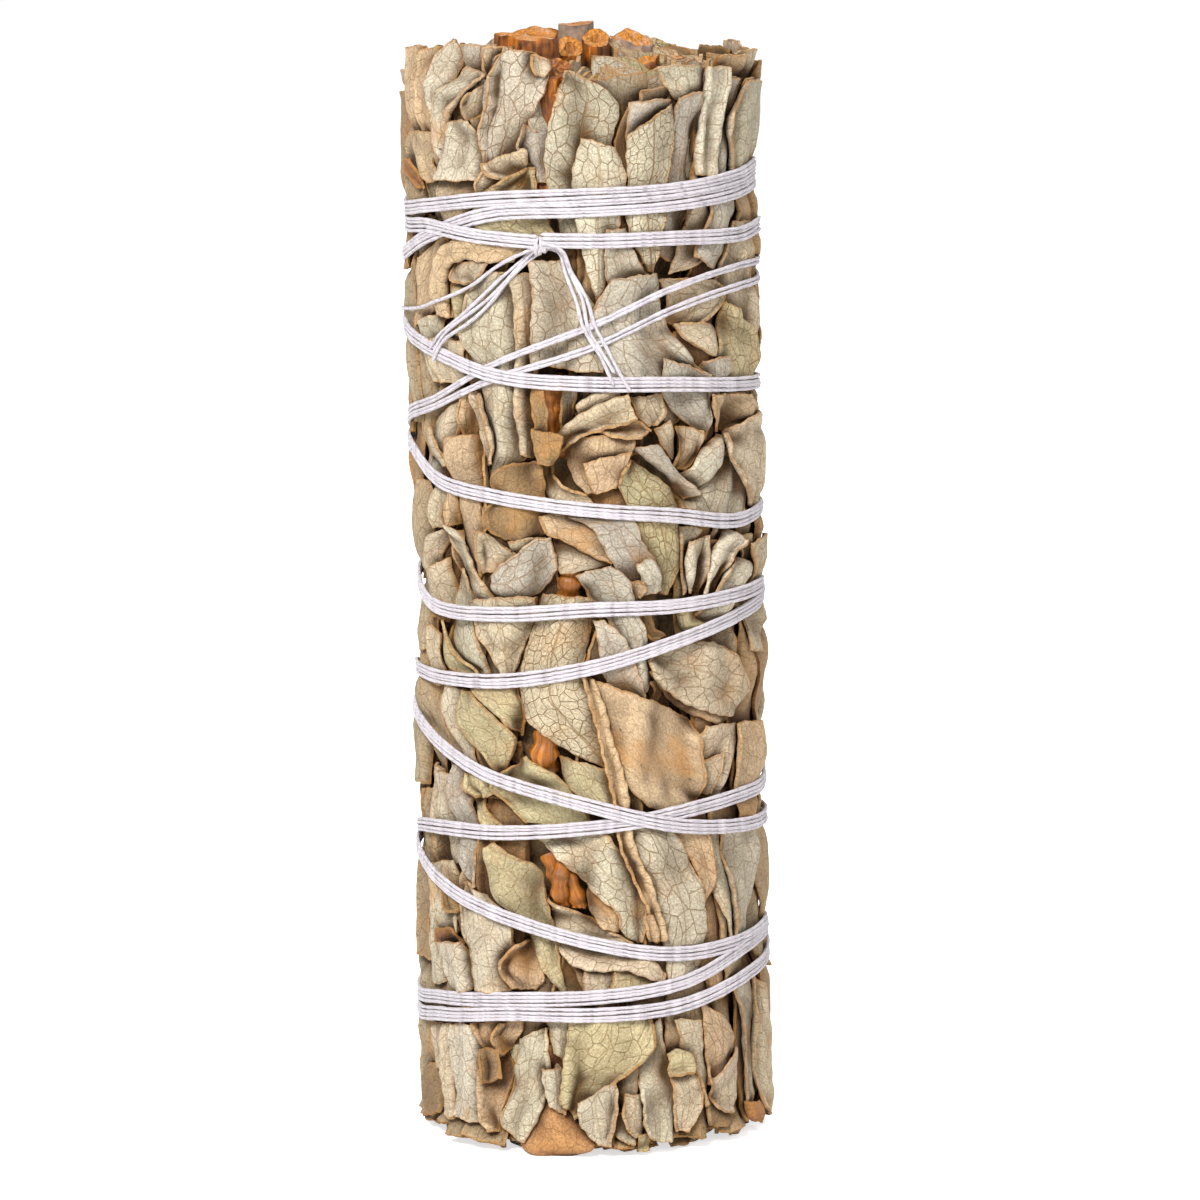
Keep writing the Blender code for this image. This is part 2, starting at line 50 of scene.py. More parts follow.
bunch = {
    "radius": 16.2,         # of the finished surface
    "core": 12.9,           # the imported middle, which the first leaves lie on
    "most": 16.55,          # no leaf stands out further
    "rimHeight": 98.0,      # where the leaves are cut off
    "cell": 0.2,            # of the height map that each leaf is laid on
    "seed": 11,
}
arcPerDegree = bunch["radius"] * math.pi / 180.0
aroundMm = 2.0 * math.pi * bunch["radius"]
mapColumns = 512
mapLow, mapHigh = -2.0, 104.0
mapRows = int((mapHigh - mapLow) / bunch["cell"])
draw = np.random.default_rng(bunch["seed"])


# Camera

camera = {
    "aim": (1.2, 0.0, 48.6),    # point of the bunch in the middle of the picture
    "distance": 600.0,
    "elevation": 9.0,           # degrees above the table
    "lens": 196.8, "sensor": 36.0,
    "roll": 0.9,                # the bunch leans a little to the left in the picture
    "pictureSize": 1200,        # that its picture points are given in
}


def makeCamera(c):
    data = bpy.data.cameras.new("camera")
    data.lens, data.sensor_width = c["lens"], c["sensor"]
    data.clip_start, data.clip_end = 0.01, 20.0
    view = bpy.data.objects.new("camera", data)
    bpy.context.scene.collection.objects.link(view)
    up = math.radians(c["elevation"])
    back = np.array([0.0, -math.cos(up), math.sin(up)])
    view.location = tuple((np.array(c["aim"]) + back * c["distance"]) * mm)
    view.rotation_mode = "XYZ"
    turn = np.eye(4)
    right, over = np.array([1.0, 0.0, 0.0]), np.cross(back, [1.0, 0.0, 0.0])
    roll = math.radians(-c["roll"])
    turn[:3, 0] = math.cos(roll) * right + math.sin(roll) * over
    turn[:3, 1] = -math.sin(roll) * right + math.cos(roll) * over
    turn[:3, 2] = back
    turn[:3, 3] = view.location
    view.matrix_world = Matrix(turn.tolist())
    bpy.context.scene.camera = view


makeCamera(camera)
print("camera set")


# Colours and nodes

def toLinear(hexColour):
    # An sRGB hex value as linear red, green and blue.
    parts = np.array([int(hexColour[k:k + 2], 16) for k in (1, 3, 5)]) / 255.0
    return np.where(parts <= 0.04045, parts / 12.92, ((parts + 0.055) / 1.055) ** 2.4)


def setInputs(tree, node, inputs):
    # Links each input that is given a socket, and sets each that is given a value.
    for key, value in inputs.items():
        socket = node.inputs[key]
        if isinstance(value, bpy.types.NodeSocket):
            tree.links.new(value, socket)
        else:
            socket.default_value = (*value, 1.0) if socket.type == "RGBA" else value


def addNode(tree, kind, inputs=None, stops=(), **settings):
    # Adds a node with its properties, its inputs and the stops of its colour ramp, each a place
    # with a grey value or a colour. Returns its outputs.
    node = tree.nodes.new("ShaderNode" + kind)
    for name, value in settings.items():
        setattr(node, name, value)
    setInputs(tree, node, inputs or {})
    if stops:
        elements = node.color_ramp.elements
        while len(elements) < len(stops):
            elements.new(0.5)
        for element, (place, value) in zip(elements, stops):
            element.position = place
            element.color = (*np.broadcast_to(value, 3), 1.0)
    return node.outputs


def newMaterial(name):
    material = bpy.data.materials.new(name)
    material.use_nodes = True
    return material, material.node_tree, material.node_tree.nodes["Principled BSDF"]


# Dried leaf of white sage. The blade is thick, matt and felted with short hairs, so it has a
# soft sheen and no gloss. Drying shrinks it between its veins, which leaves a net of fine brown
# lines in cells of about 0.7 mm within longer ones of 1.2 by 1.6 mm, and turns its thin margins
# ochre. Between the lines the surface is pebbled, every quarter of a millimetre.
leafLook = {
    "fineCell": (0.62, 0.72), "coarseCell": (1.15, 1.6),     # across the leaf and along it
    "fineLine": 0.034, "coarseLine": 0.026,
    "vein": "#86602C", "margin": "#986C36", "blotch": "#B07C42", "speck": "#5A4228",
    "veinStrength": 0.62, "marginMm": 0.06, "pebble": 0.27, "roughness": 0.9, "sheen": 0.05,
}


def makeLeafMaterial(look):
    # The tint is multiplied by a cloud, the felt and the pebbles. Blotches, veins, specks, a stain
    # and the margin are mixed over it, each by its pattern times the leaf's own age or net.
    material, tree, shader = newMaterial("driedSageLeaf")
    uv = addNode(tree, "UVMap", uv_map="leafMm")[0]
    tint = addNode(tree, "Attribute", attribute_name="tint")
    wear = addNode(tree, "Attribute", attribute_name="wear")
    margin, netStrength, age = addNode(tree, "SeparateColor", {"Color": wear["Color"]})[:3]
    size = addNode(tree, "CombineXYZ", dict.fromkeys("XYZ", wear["Alpha"]))[0]
    scaled = addNode(tree, "VectorMath", {0: uv, 1: size}, operation="DIVIDE")[0]
    wobble = addNode(tree, "TexNoise", {"Vector": uv, "Scale": 0.7, "Detail": 1.0})["Color"]
    warped = addNode(tree, "VectorMath", {0: wobble, 1: (0.45, 0.45, 0.0), 2: scaled},
                     operation="MULTIPLY_ADD")[0]
    broad = addNode(tree, "TexNoise", {"Vector": uv, "Scale": 0.22, "Detail": 3.0})["Fac"]
    cloud = addNode(tree, "TexNoise", {"Vector": uv, "Scale": 0.4, "Detail": 6.0,
                                       "Roughness": 0.7})["Fac"]
    # Felt of short hairs, as a grain of 0.3 mm and finer.
    felt = addNode(tree, "TexNoise", {"Vector": uv, "Scale": 3.6, "Detail": 3.0,
                                      "Roughness": 0.75})["Fac"]
    pebbles = addNode(tree, "TexVoronoi", {"Vector": warped, "Scale": 1.0 / look["pebble"]},
                      feature="DISTANCE_TO_EDGE", voronoi_dimensions="2D")["Distance"]
    dots = addNode(tree, "TexVoronoi", {"Vector": uv, "Scale": 0.6}, feature="F1")["Distance"]
    # Margins: ochre in patches within 0.06 mm, with a fainter stain further in.
    ragged = addNode(tree, "TexNoise", {"Vector": uv, "Scale": 1.6, "Detail": 3.0})["Fac"]
    ragged = addNode(tree, "Math", {0: ragged, 1: 0.5}, operation="ADD")[0]
    edge = addNode(tree, "Math", {0: margin, 1: ragged}, operation="MULTIPLY")[0]
    width = look["marginMm"] / 3.0
    patterns = {
        "midrib": (tint["Alpha"], ((0.0, 1.0), (0.05, 0.9), (0.13, 0.0))),
        "seen": (broad, ((0.36, 0.2), (0.60, 1.0))),
        "shade": (cloud, ((0.25, (0.76, 0.75, 0.72)), (0.75, (1.14, 1.15, 1.16)))),
        "felt": (felt, ((0.32, 0.64), (0.68, 1.24))),
        "pebbles": (pebbles, ((0.0, 0.78), (0.16, 1.06))),
        "blotch": (broad, ((0.52, 0.0), (0.68, 1.0))),
        "speck": (dots, ((0.05, 1.0), (0.09, 0.0))),
        "rim": (edge, ((0.0, 1.0), (width, 0.75), (2.0 * width, 0.0))),
        "patchy": (cloud, ((0.42, 0.2), (0.56, 1.0))),
        "stain": (edge, ((0.0, 1.0), (5.0 * width, 0.0))),
    }
    # Veins: the border between the cells of a Voronoi pattern, at two sizes, and the midrib.
    for kind in ("fine", "coarse"):
        (across, along), line = look[kind + "Cell"], look[kind + "Line"]
        cells = addNode(tree, "Mapping", {"Vector": warped,
                                          "Scale": (1.0 / across, 1.0 / along, 1.0)})[0]
        net = addNode(tree, "TexVoronoi", {"Vector": cells, "Scale": 1.0, "Randomness": 0.9},
                      feature="DISTANCE_TO_EDGE", voronoi_dimensions="2D")["Distance"]
        patterns[kind] = (net, ((0.0, 1.0), (line * 0.5, 0.9), (line * 1.5, 0.0)))
    ramps = {name: addNode(tree, "ValToRGB", {"Fac": source}, stops)["Color"]
             for name, (source, stops) in patterns.items()}
    midrib = addNode(tree, "Math", {0: ramps["midrib"], 1: 0.6}, operation="MULTIPLY")[0]
    veins = ramps["fine"]
    for operation, other in (("MULTIPLY", ramps["seen"]), ("MULTIPLY", 0.45),
                             ("MAXIMUM", ramps["coarse"]), ("MAXIMUM", midrib),
                             ("MULTIPLY", netStrength)):
        veins = addNode(tree, "Math", {0: veins, 1: other}, operation=operation)[0]
    # Each coat is its blend, its paint and the factors of its share.
    colour = tint["Color"]
    for blend, paint, share, *factors in (
            ("MULTIPLY", ramps["shade"], 1.0), ("MULTIPLY", ramps["felt"], 1.0),
            ("MULTIPLY", ramps["pebbles"], 1.0),
            ("MIX", toLinear(look["blotch"]), ramps["blotch"], age, 0.55),
            ("MIX", toLinear(look["vein"]), veins, look["veinStrength"]),
            ("MIX", toLinear(look["speck"]), ramps["speck"], age, 0.8),
            ("MIX", toLinear(look["blotch"]), ramps["stain"], 0.28),
            ("MIX", toLinear(look["margin"]), ramps["rim"], ramps["patchy"], 0.7)):
        for factor in factors:
            share = addNode(tree, "Math", {0: share, 1: factor}, operation="MULTIPLY")[0]
        colour = addNode(tree, "Mix", {0: share, 6: colour, 7: paint}, data_type="RGBA",
                         blend_type=blend)[2]
    # The net lies in furrows, and the felt gives the fine grain.
    height = addNode(tree, "Math", {0: veins, 1: -1.0, 2: felt}, operation="MULTIPLY_ADD")[0]
    bump = addNode(tree, "Bump", {"Height": height, "Strength": 0.8, "Distance": 0.00016})[0]
    setInputs(tree, shader, {"Base Color": colour, "Normal": bump, "Roughness": look["roughness"],
                             "Sheen Weight": look["sheen"], "Sheen Roughness": 0.6,
                             "Specular IOR Level": 0.2})
    return material


# Woody stem of sage: thin bark over dense amber wood, dried and snapped off. The bark has
# lengthwise streaks and furrows, and the broken wood is paler with short fibres.
stemLook = {
    "bark": "#985208", "dark": "#3E1C04", "light": "#DE9230", "cut": "#BC7826", "grey": "#9C8370",
    "streak": 0.5, "roughness": 0.42,
}


def makeStemMaterial(look):
    # The bark is a ramp over noise drawn out along the stem. It and the grey bark are multiplied
    # by patches, and the torn wood by its own noise. They are mixed by where each is.
    material, tree, shader = newMaterial("drySageWood")
    uv = addNode(tree, "UVMap", uv_map="stemMm")[0]
    stretched = addNode(tree, "Mapping", {
        "Vector": uv, "Scale": (1.0 / look["streak"], 0.12 / look["streak"], 1.0)})[0]
    streaks = addNode(tree, "TexNoise", {"Vector": stretched, "Scale": 1.0, "Detail": 6.0,
                                         "Roughness": 0.7})["Fac"]
    patches = addNode(tree, "TexNoise", {"Vector": uv, "Scale": 0.8, "Detail": 4.0})["Fac"]
    torn = addNode(tree, "TexNoise", {"Vector": uv, "Scale": 2.8, "Detail": 5.0,
                                      "Roughness": 0.8})["Fac"]
    dark, plain, light, cut, grey = (toLinear(look[name])
                                     for name in ("dark", "bark", "light", "cut", "grey"))
    bark, shade, tornShade = [addNode(tree, "ValToRGB", {"Fac": source}, stops)["Color"]
                              for source, stops in (
        (streaks, ((0.30, dark), (0.52, plain), (0.74, light))),
        (patches, ((0.35, 0.38), (0.65, 1.2))), (torn, ((0.36, 0.25), (0.62, 1.3))))]
    colour, grey, wood = [addNode(tree, "Mix", {0: 1.0, 6: paint, 7: pattern}, data_type="RGBA",
                                  blend_type="MULTIPLY")[2]
                          for paint, pattern in ((bark, shade), (grey, shade), (cut, tornShade))]
    for where, paint in (("weathered", grey), ("cutFace", wood)):
        share = addNode(tree, "Attribute", attribute_name=where)["Fac"]
        colour = addNode(tree, "Mix", {0: share, 6: colour, 7: paint}, data_type="RGBA")[2]
    bump = addNode(tree, "Bump", {"Height": streaks, "Strength": 0.7, "Distance": 0.0002})[0]
    setInputs(tree, shader, {"Base Color": colour, "Normal": bump, "Roughness": look["roughness"]})
    return material


# Cotton string: loose strands of white cotton, each twisted from finer yarn with a pitch of
# about 1 mm, which shows as slanting ridges. Cotton is matt with a soft sheen.
threadLook = {"white": "#CEC8CC", "shade": "#80767F", "pitch": 1.0, "slant": 20.0,
              "roughness": 0.8, "sheen": 0.25}


def makeThreadMaterial(look):
    # A ramp over noise that is turned by the slant and then drawn out along the ridges.
    material, tree, shader = newMaterial("whiteCottonString")
    uv = addNode(tree, "UVMap", uv_map="threadMm")[0]
    slanted = addNode(tree, "Mapping", {
        "Vector": uv, "Rotation": (0.0, 0.0, math.radians(look["slant"]))})[0]
    drawnOut = addNode(tree, "Mapping", {"Vector": slanted,
                                         "Scale": (6.0, 1.0 / look["pitch"], 1.0)})[0]
    fibres = addNode(tree, "TexNoise", {"Vector": drawnOut, "Scale": 1.0, "Detail": 4.0,
                                        "Roughness": 0.7})["Fac"]
    colour = addNode(tree, "ValToRGB", {"Fac": fibres}, (
        (0.33, toLinear(look["shade"])), (0.56, toLinear(look["white"]))))["Color"]
    bump = addNode(tree, "Bump", {"Height": fibres, "Strength": 0.5, "Distance": 0.00008})[0]
    setInputs(tree, shader, {"Base Color": colour, "Normal": bump, "Roughness": look["roughness"],
                             "Sheen Weight": look["sheen"]})
    return material


leafMaterial = makeLeafMaterial(leafLook)
stemMaterial = makeStemMaterial(stemLook)
threadMaterial = makeThreadMaterial(threadLook)
print("materials made")


# Height map of the bunch: its outside radius over (s, z)

def mapPlace(s, z):
    # Column and row of a place, as fractions. Columns go round and meet at the back.
    column = (s / aroundMm + 0.5) * mapColumns
    row = np.clip((z - mapLow) / bunch["cell"], 0.0, mapRows - 1.001)
    return column, row


def readMap(field, s, z):
    # Bilinear reading of a map.
    column, row = mapPlace(s, z)
    c0, r0 = np.floor(column).astype(int), np.floor(row).astype(int)
    u, v = column - c0, row - r0
    c0, c1 = c0 % mapColumns, (c0 + 1) % mapColumns
    low = field[c0, r0] * (1.0 - u) + field[c1, r0] * u
    high = field[c0, r0 + 1] * (1.0 - u) + field[c1, r0 + 1] * u
    return low * (1.0 - v) + high * v


def finer(grid, timesA, timesB):
    # The same sheet of points, with more points between them on straight lines.
    na, nb = grid.shape
    ia = np.linspace(0.0, na - 1.0, (na - 1) * timesA + 1)
    ib = np.linspace(0.0, nb - 1.0, (nb - 1) * timesB + 1)
    a0, b0 = np.minimum(ia.astype(int), na - 2), np.minimum(ib.astype(int), nb - 2)
    u, v = (ia - a0)[:, None], (ib - b0)[None, :]
    low = grid[a0][:, b0] * (1 - u) + grid[a0 + 1][:, b0] * u
    high = grid[a0][:, b0 + 1] * (1 - u) + grid[a0 + 1][:, b0 + 1] * u
    return low * (1 - v) + high * v


def raiseMap(field, s, z, r, timesA=3, timesB=4):
    # The map becomes at least as high as this sheet everywhere under it.
    s, z, r = (finer(part, timesA, timesB) for part in (s, z, r))
    column, row = mapPlace(s, z)
    place = (np.round(column).astype(int) % mapColumns, np.round(row).astype(int))
    np.maximum.at(field, place, r)


def blurMap(field, widthMm):
    # Gaussian blur, round the bunch and along it.
    sigma = widthMm / bunch["cell"]
    half = int(3 * sigma) + 1
    weights = np.exp(-0.5 * (np.arange(-half, half + 1) / sigma) ** 2)
    weights /= weights.sum()
    wrapped = np.concatenate([field[-half:], field, field[:half]], axis=0)
    out = sum(w * wrapped[k:k + mapColumns] for k, w in enumerate(weights))
    padded = np.pad(out, ((0, 0), (half, half)), mode="edge")
    return sum(w * padded[:, k:k + mapRows] for k, w in enumerate(weights))


columnArc = (np.arange(mapColumns) / mapColumns - 0.5) * aroundMm
rowHeight = mapLow + np.arange(mapRows) * bunch["cell"]
outside = np.full((mapColumns, mapRows), bunch["core"])
outside += 0.35 * np.sin(columnArc * 0.9 + 1.0)[:, None] * np.sin(rowHeight * 0.11)[None, :]


# Leaves

leafShape = {
    "thickness": 0.25,
    "step": 0.32,           # between points of a laid leaf
    "stepUnder": 0.62,      # and of a leaf in the lower layers
    "curlRadius": 0.42,     # of a margin that has rolled in while drying
    "bridge": 0.55,         # how far a leaf spans hollows, 0 to 1
    "ripple": 0.06, "rippleLength": 1.5,         # of the margins
    "waveLength": 4.2,      # over which a curl grows and shrinks
    "crumple": 0.07,
    "ragged": 1.2,          # length of each end that is rounded and torn
    "paintedShadeUnder": (0.74, 0.66, 0.56),   # lower leaves are painted darker and browner, as painted shade in the gaps
}
# Dried leaves run from grey-green to beige, olive and brown.
tints = {
    "sage": "#BDB29B", "grey": "#B3AA9A", "pale": "#C9BFA9", "beige": "#C3B297",
    "olive": "#BAAC86", "tan": "#C2A785", "brown": "#967A56", "russet": "#B8885A",
    "rust": "#9C6C40",
}
leafParts = {}


def easeStep(x):
    x = np.clip(x, 0.0, 1.0)
    return x * x * (3.0 - 2.0 * x)


def cubicAt(knots, values, slope, at):
    # The cubic between neighbouring knots that has their values and slopes, read at each place.
    place = np.clip(np.searchsorted(knots, at, side="right") - 1, 0, len(knots) - 2)
    span = knots[place + 1] - knots[place]
    x = (at - knots[place]) / span
    if values.ndim > 1:
        span, x = span[:, None], x[:, None]
    level = ((2 * x ** 3 - 3 * x ** 2 + 1) * values[place]
             + (3 * x ** 2 - 2 * x ** 3) * values[place + 1])
    return level + span * ((x ** 3 - 2 * x ** 2 + x) * slope[place]
                           + (x ** 3 - x ** 2) * slope[place + 1])


def smoothThrough(points, count):
    # A cubic through the points, with each slope from its neighbours, read at even steps.
    points = np.asarray(points, float)
    along = np.concatenate([[0.0], np.cumsum(np.hypot(*np.diff(points, axis=0).T) + 1e-6)])
    return cubicAt(along, points, np.gradient(points, along, axis=0),
                   np.linspace(0.0, along[-1], count))


def spread(grid, rounds, ground=None):
    # Each point moves to the mean of its neighbours, and never below the ground if there is one.
    for _ in range(rounds):
        padded = np.pad(grid, 1, mode="edge")
        grid = 0.25 * (padded[2:, 1:-1] + padded[:-2, 1:-1] + padded[1:-1, 2:] + padded[1:-1, :-2])
        if ground is not None:
            grid = np.maximum(ground, grid)
    return grid


def swell(grid):
    # Each point takes the largest value among itself and its eight neighbours.
    padded = np.pad(grid, 1, mode="edge")
    wide = np.maximum(np.maximum(padded[2:], padded[:-2]), padded[1:-1])
    return np.maximum(np.maximum(wide[:, 2:], wide[:, :-2]), wide[:, 1:-1])


def seatOn(ground, bridge):
    # A stiff sheet over the ground: a skin stretched over its high points is mixed with the
    # smoothed ground, and then raised smoothly wherever the ground would come through.
    skin = spread(ground, 30, ground)
    seat = bridge * spread(skin, 6) + (1.0 - bridge) * spread(ground, 10)
    through = np.maximum(ground - seat, 0.0)
    return seat + spread(swell(swell(through)), 3)


def halfSection(width, curl, tilt, bow, flatCount, curlCount):
    # Runs from the middle of the leaf to one margin. Its direction turns slowly by the bow
    # over the flat part, and then by the curl on a small radius, so its length never changes.
    size = np.abs(curl) * leafShape["curlRadius"] + 0.01
    flatStep = np.repeat(0.5 * width[None, :] / flatCount, flatCount, axis=0)
    curlStep = np.repeat(size[None, :] / curlCount, curlCount, axis=0)
    flatShare = ((np.arange(flatCount) + 0.5) / flatCount)[:, None]
    curlShare = ((np.arange(curlCount) + 0.5) / curlCount)[:, None]
    turn = np.concatenate([tilt + bow * flatShare + 0.0 * width, tilt + bow + curl * curlShare])
    step = np.concatenate([flatStep, curlStep])
    zero = np.zeros((1, len(width)))
    t = np.concatenate([zero, np.cumsum(np.cos(turn) * step, axis=0)])
    q = np.concatenate([zero, np.cumsum(np.sin(turn) * step, axis=0)])
    u = np.concatenate([zero, np.cumsum(step, axis=0)])
    edge = t[flatCount]
    t[:flatCount + 1] *= 0.5 * width / np.maximum(edge, 0.05)
    t[flatCount + 1:] += 0.5 * width - edge
    bend = np.abs(u - 0.5 * width) + 0.16
    return t, q, u, np.minimum(u[-1] - u, np.where(np.abs(curl) > 1.0, bend, 9.0))


def layLeaf(group, left, right, tint="sage", curlLeft=None, curlRight=None, bow=None, net=0.7,
            age=0.3, scale=1.0, pointed=False, under=False):
    # Lays one leaf on what is already there. Its outline is two edges, each a row of (s, z).
    # Across, a point goes out from the middle line by the section's run. Its radius is the seat
    # on the ground, plus half the thickness, the section's rise and a small crumple.
    step = leafShape["stepUnder" if under else "step"]
    phase = draw.uniform(0.0, 6.28)
    length = 0.5 * sum(float(np.hypot(*np.diff(np.asarray(e, float), axis=0).T).sum())
                       for e in (left, right))
    nb = int(np.clip(length / step, 8, 100)) + 1
    left, right = smoothThrough(left, nb), smoothThrough(right, nb)
    b = np.linspace(0.0, 1.0, nb)
    cross = right - left
    width = np.maximum(np.hypot(*cross.T), 0.12)
    side = cross / np.maximum(np.hypot(*cross.T), 1e-6)[:, None]
    middle = 0.5 * (left + right)
    count = int(np.clip(0.5 * width.max() / step, 3, 16))
    curlCount = 4 if under else 6
    fade = 0.55 + 0.45 * np.sin(math.pi * b)
    curlLeft = draw.uniform(-0.4, 0.25) if curlLeft is None else curlLeft
    curlRight = draw.uniform(-0.4, 0.25) if curlRight is None else curlRight
    bow = draw.uniform(-0.22, 0.06) if bow is None else bow
    tilt = draw.normal(0.0, 0.07) + 0.05 * np.sin(4.0 * b + phase)
    waviness = 1.0 + 0.2 * np.sin(2.0 * math.pi * b * length / leafShape["waveLength"] + phase)
    halves = [halfSection(width, curl * fade * waviness, lean, bow, count, curlCount)
              for curl, lean in ((curlLeft, -tilt), (curlRight, tilt))]
    t = np.concatenate([-halves[0][0][::-1], halves[1][0][1:]])
    q = np.concatenate([halves[0][1][::-1], halves[1][1][1:]])
    u = np.concatenate([-halves[0][2][::-1], halves[1][2][1:]])
    edge = np.concatenate([halves[0][3][::-1], halves[1][3][1:]])
    share = easeStep(t / width + 0.5)
    q = q - (1.0 - share) * halves[0][1].min(axis=0) - share * halves[1][1].min(axis=0)
    across = t / width * 2.0
    t = t + np.sign(t) * np.clip(np.abs(across), 0.0, 1.0) ** 3 * leafShape["ripple"] * \
        np.sin(2.0 * math.pi * b * length / leafShape["rippleLength"] + 3.0 * phase)
    ahead = np.gradient(middle, axis=0)
    ahead = ahead / np.maximum(np.hypot(*ahead.T), 1e-6)[:, None]
    # The ends are a little rounded and ragged.
    rag = 0.03 * width * (1.0 - np.clip(np.abs(across), 0, 1) ** 2) * (0.0 if pointed else 1.0)
    rag = rag + 0.06 * np.sin(2.6 * t + phase) + 0.04 * np.sin(7.0 * t)
    reach = rag * (easeStep((b * length - length) / leafShape["ragged"] + 1.0)
                   - easeStep(1.0 - b * length / leafShape["ragged"]))
    s = middle[:, 0] + side[:, 0] * t + ahead[:, 0] * reach
    z = middle[:, 1] + side[:, 1] * t + ahead[:, 1] * reach
    z = np.clip(z, 0.12, None)
    ground = readMap(outside, s, z)
    seat = seatOn(ground, leafShape["bridge"])
    crumple = leafShape["crumple"] * np.sin(t + 0.8 * b * length + phase) \
        * np.sin(0.5 * b * length + 2.0 * phase)
    crumple = crumple + 0.03 * np.sin(2.1 * t - 1.5 * b * length + 3.0 * phase)
    thick = leafShape["thickness"]
    r = seat + 0.5 * thick + 0.03 + q + crumple + 0.08
    raiseMap(outside, s, z, r + 0.5 * thick)
    ends = np.minimum(b, 1.0 - b)[None, :] * length + 0.0 * u
    uv = np.stack([u, b * length + 0.0 * u], axis=-1)
    uv = uv + draw.uniform(0.0, 200.0, 2)
    colour = toLinear(tints[tint]) * draw.uniform(0.88, 1.10)
    colour = colour * (1.0 + draw.uniform(-0.015, 0.015, 3))
    # Lower leaves get painted shade, darker and browner, for the gaps between the front leaves.
    if under:
        colour = colour * leafShape["paintedShadeUnder"]
    leafParts.setdefault(group, []).append(
        dict(s=s, z=z, r=r, thickness=thick, uv=uv, tint=colour, middle=np.abs(u),
             edge=np.minimum(edge, ends), net=net, age=age, scale=scale))


def sprigOf(angle):
    # The part's six outer sprigs begin at -60 degrees, and each takes about a sixth of the way.
    return f"sprigLeaves{1 + int(((angle + 60.0) % 360.0) // 60.0)}"


def layPlainLeaf(start, end, width, tint, bend=0.0, endShares=(0.2, 0.9), **more):
    # A leaf from start to end, each (angle, z), with both edges bowed out. Its ends have these
    # shares of its width.
    b = np.linspace(0.0, 1.0, 7)
    first = np.array([start[0] * arcPerDegree, start[1]])
    run = np.array([end[0] * arcPerDegree, end[1]]) - first
    length = float(np.hypot(*run))
    side = np.array([run[1], -run[0]]) / length
    full = np.sin(math.pi * np.clip(b * 0.84 + 0.08, 0.0, 1.0)) ** 0.6
    half = 0.5 * width * np.maximum(full, np.where(b < 0.5, endShares[0], endShares[1]))
    middle = first + run * b[:, None] + side * (bend * 4.0 * b * (1.0 - b))[:, None]
    layLeaf(sprigOf(0.5 * (start[0] + end[0])), middle - side * half[:, None],
            middle + side * half[:, None], tint, **more)


# Places that no lower leaf covers, so that they stay deep: (angle, z), and their radius.
hollows = (
    ((-11.0, 95.0), 2.2), ((-11.0, 67.0), 1.6), ((-5.5, 52.4), 1.5), ((-15.0, 37.5), 2.0),
    ((-9.0, 25.0), 2.4), ((35.5, 74.0), 1.2), ((35.0, 64.5), 1.2), ((27.0, 48.0), 1.6),
    ((-18.0, 76.0), 0.8),
)


def coversHollow(angle, low, high, width):
    for (place, height), radius in hollows:
        near = abs(angle - place) * arcPerDegree < 0.5 * width + radius
        if near and low - radius < height < high + radius:
            return True
    return False


# Lower layers: leaves placed at random all round, mostly along the stems.
lowerLayers = {"layers": 3, "columns": 16, "rows": 5, "width": (4.6, 7.0), "length": (20.0, 30.0)}


def layLowerLeaves(rule):
    for layer in range(rule["layers"]):
        for row in range(rule["rows"]):
            for column in range(rule["columns"]):
                angle = 360.0 * (column + 0.5 * (row % 2) + 0.33 * layer) / rule["columns"]
                angle = (angle + draw.uniform(-5.0, 5.0) + 180.0) % 360.0 - 180.0
                lowest = draw.uniform(0.4, 1.6)
                low = max(lowest, -6.0 + row * 20.0 + draw.uniform(-5.0, 5.0) - 5.0 * layer)
                high = min(low + draw.uniform(*rule["length"]), 97.0 + draw.uniform(-1.5, 1.0))
                width = draw.uniform(*rule["width"])
                lean = draw.uniform(-6.0, 6.0)
                tint = str(draw.choice(["sage", "beige", "grey", "olive", "tan"]))
                curls = draw.choice([-2.2, -1.0, 0.3, 1.8], 2)
                if high - low < 6.0 or coversHollow(angle, low, high, width):
                    continue
                layPlainLeaf((angle - lean, low), (angle + lean, high), width, tint,
                             endShares=(0.9 if low < 3.0 else 0.2, 0.95 if high > 95.0 else 0.2),
                             curlLeft=float(curls[0]), curlRight=float(curls[1]), under=True,
                             age=0.6)


layLowerLeaves(lowerLayers)
print("lower leaves laid, mean radius", round(float(outside[:, 20:480].mean()), 2))


# Gaps in the front leaves where amber twigs show: (angle, z) of one end and of the other, and
# the diameter.
twigGaps = (
    ((-11.5, 86.0), (-9.4, 98.3), 3.0), ((-7.4, 90.0), (-6.6, 96.4), 1.6),
    ((35.0, 71.5), (38.5, 76.0), 1.8), ((-11.5, 63.5), (-10.5, 70.5), 2.2),
    ((-13.5, 64.0), (-13.0, 70.0), 1.6), ((-7.0, 50.4), (-4.6, 54.6), 1.9),
    ((-17.5, 35.0), (-14.0, 40.0), 2.4), ((-15.5, 27.6), (-8.5, 22.6), 1.7),
    ((-12.5, 28.6), (-4.5, 22.8), 1.6), ((-10.0, 28.0), (-11.5, 23.0), 1.5),
)
twigParts = []


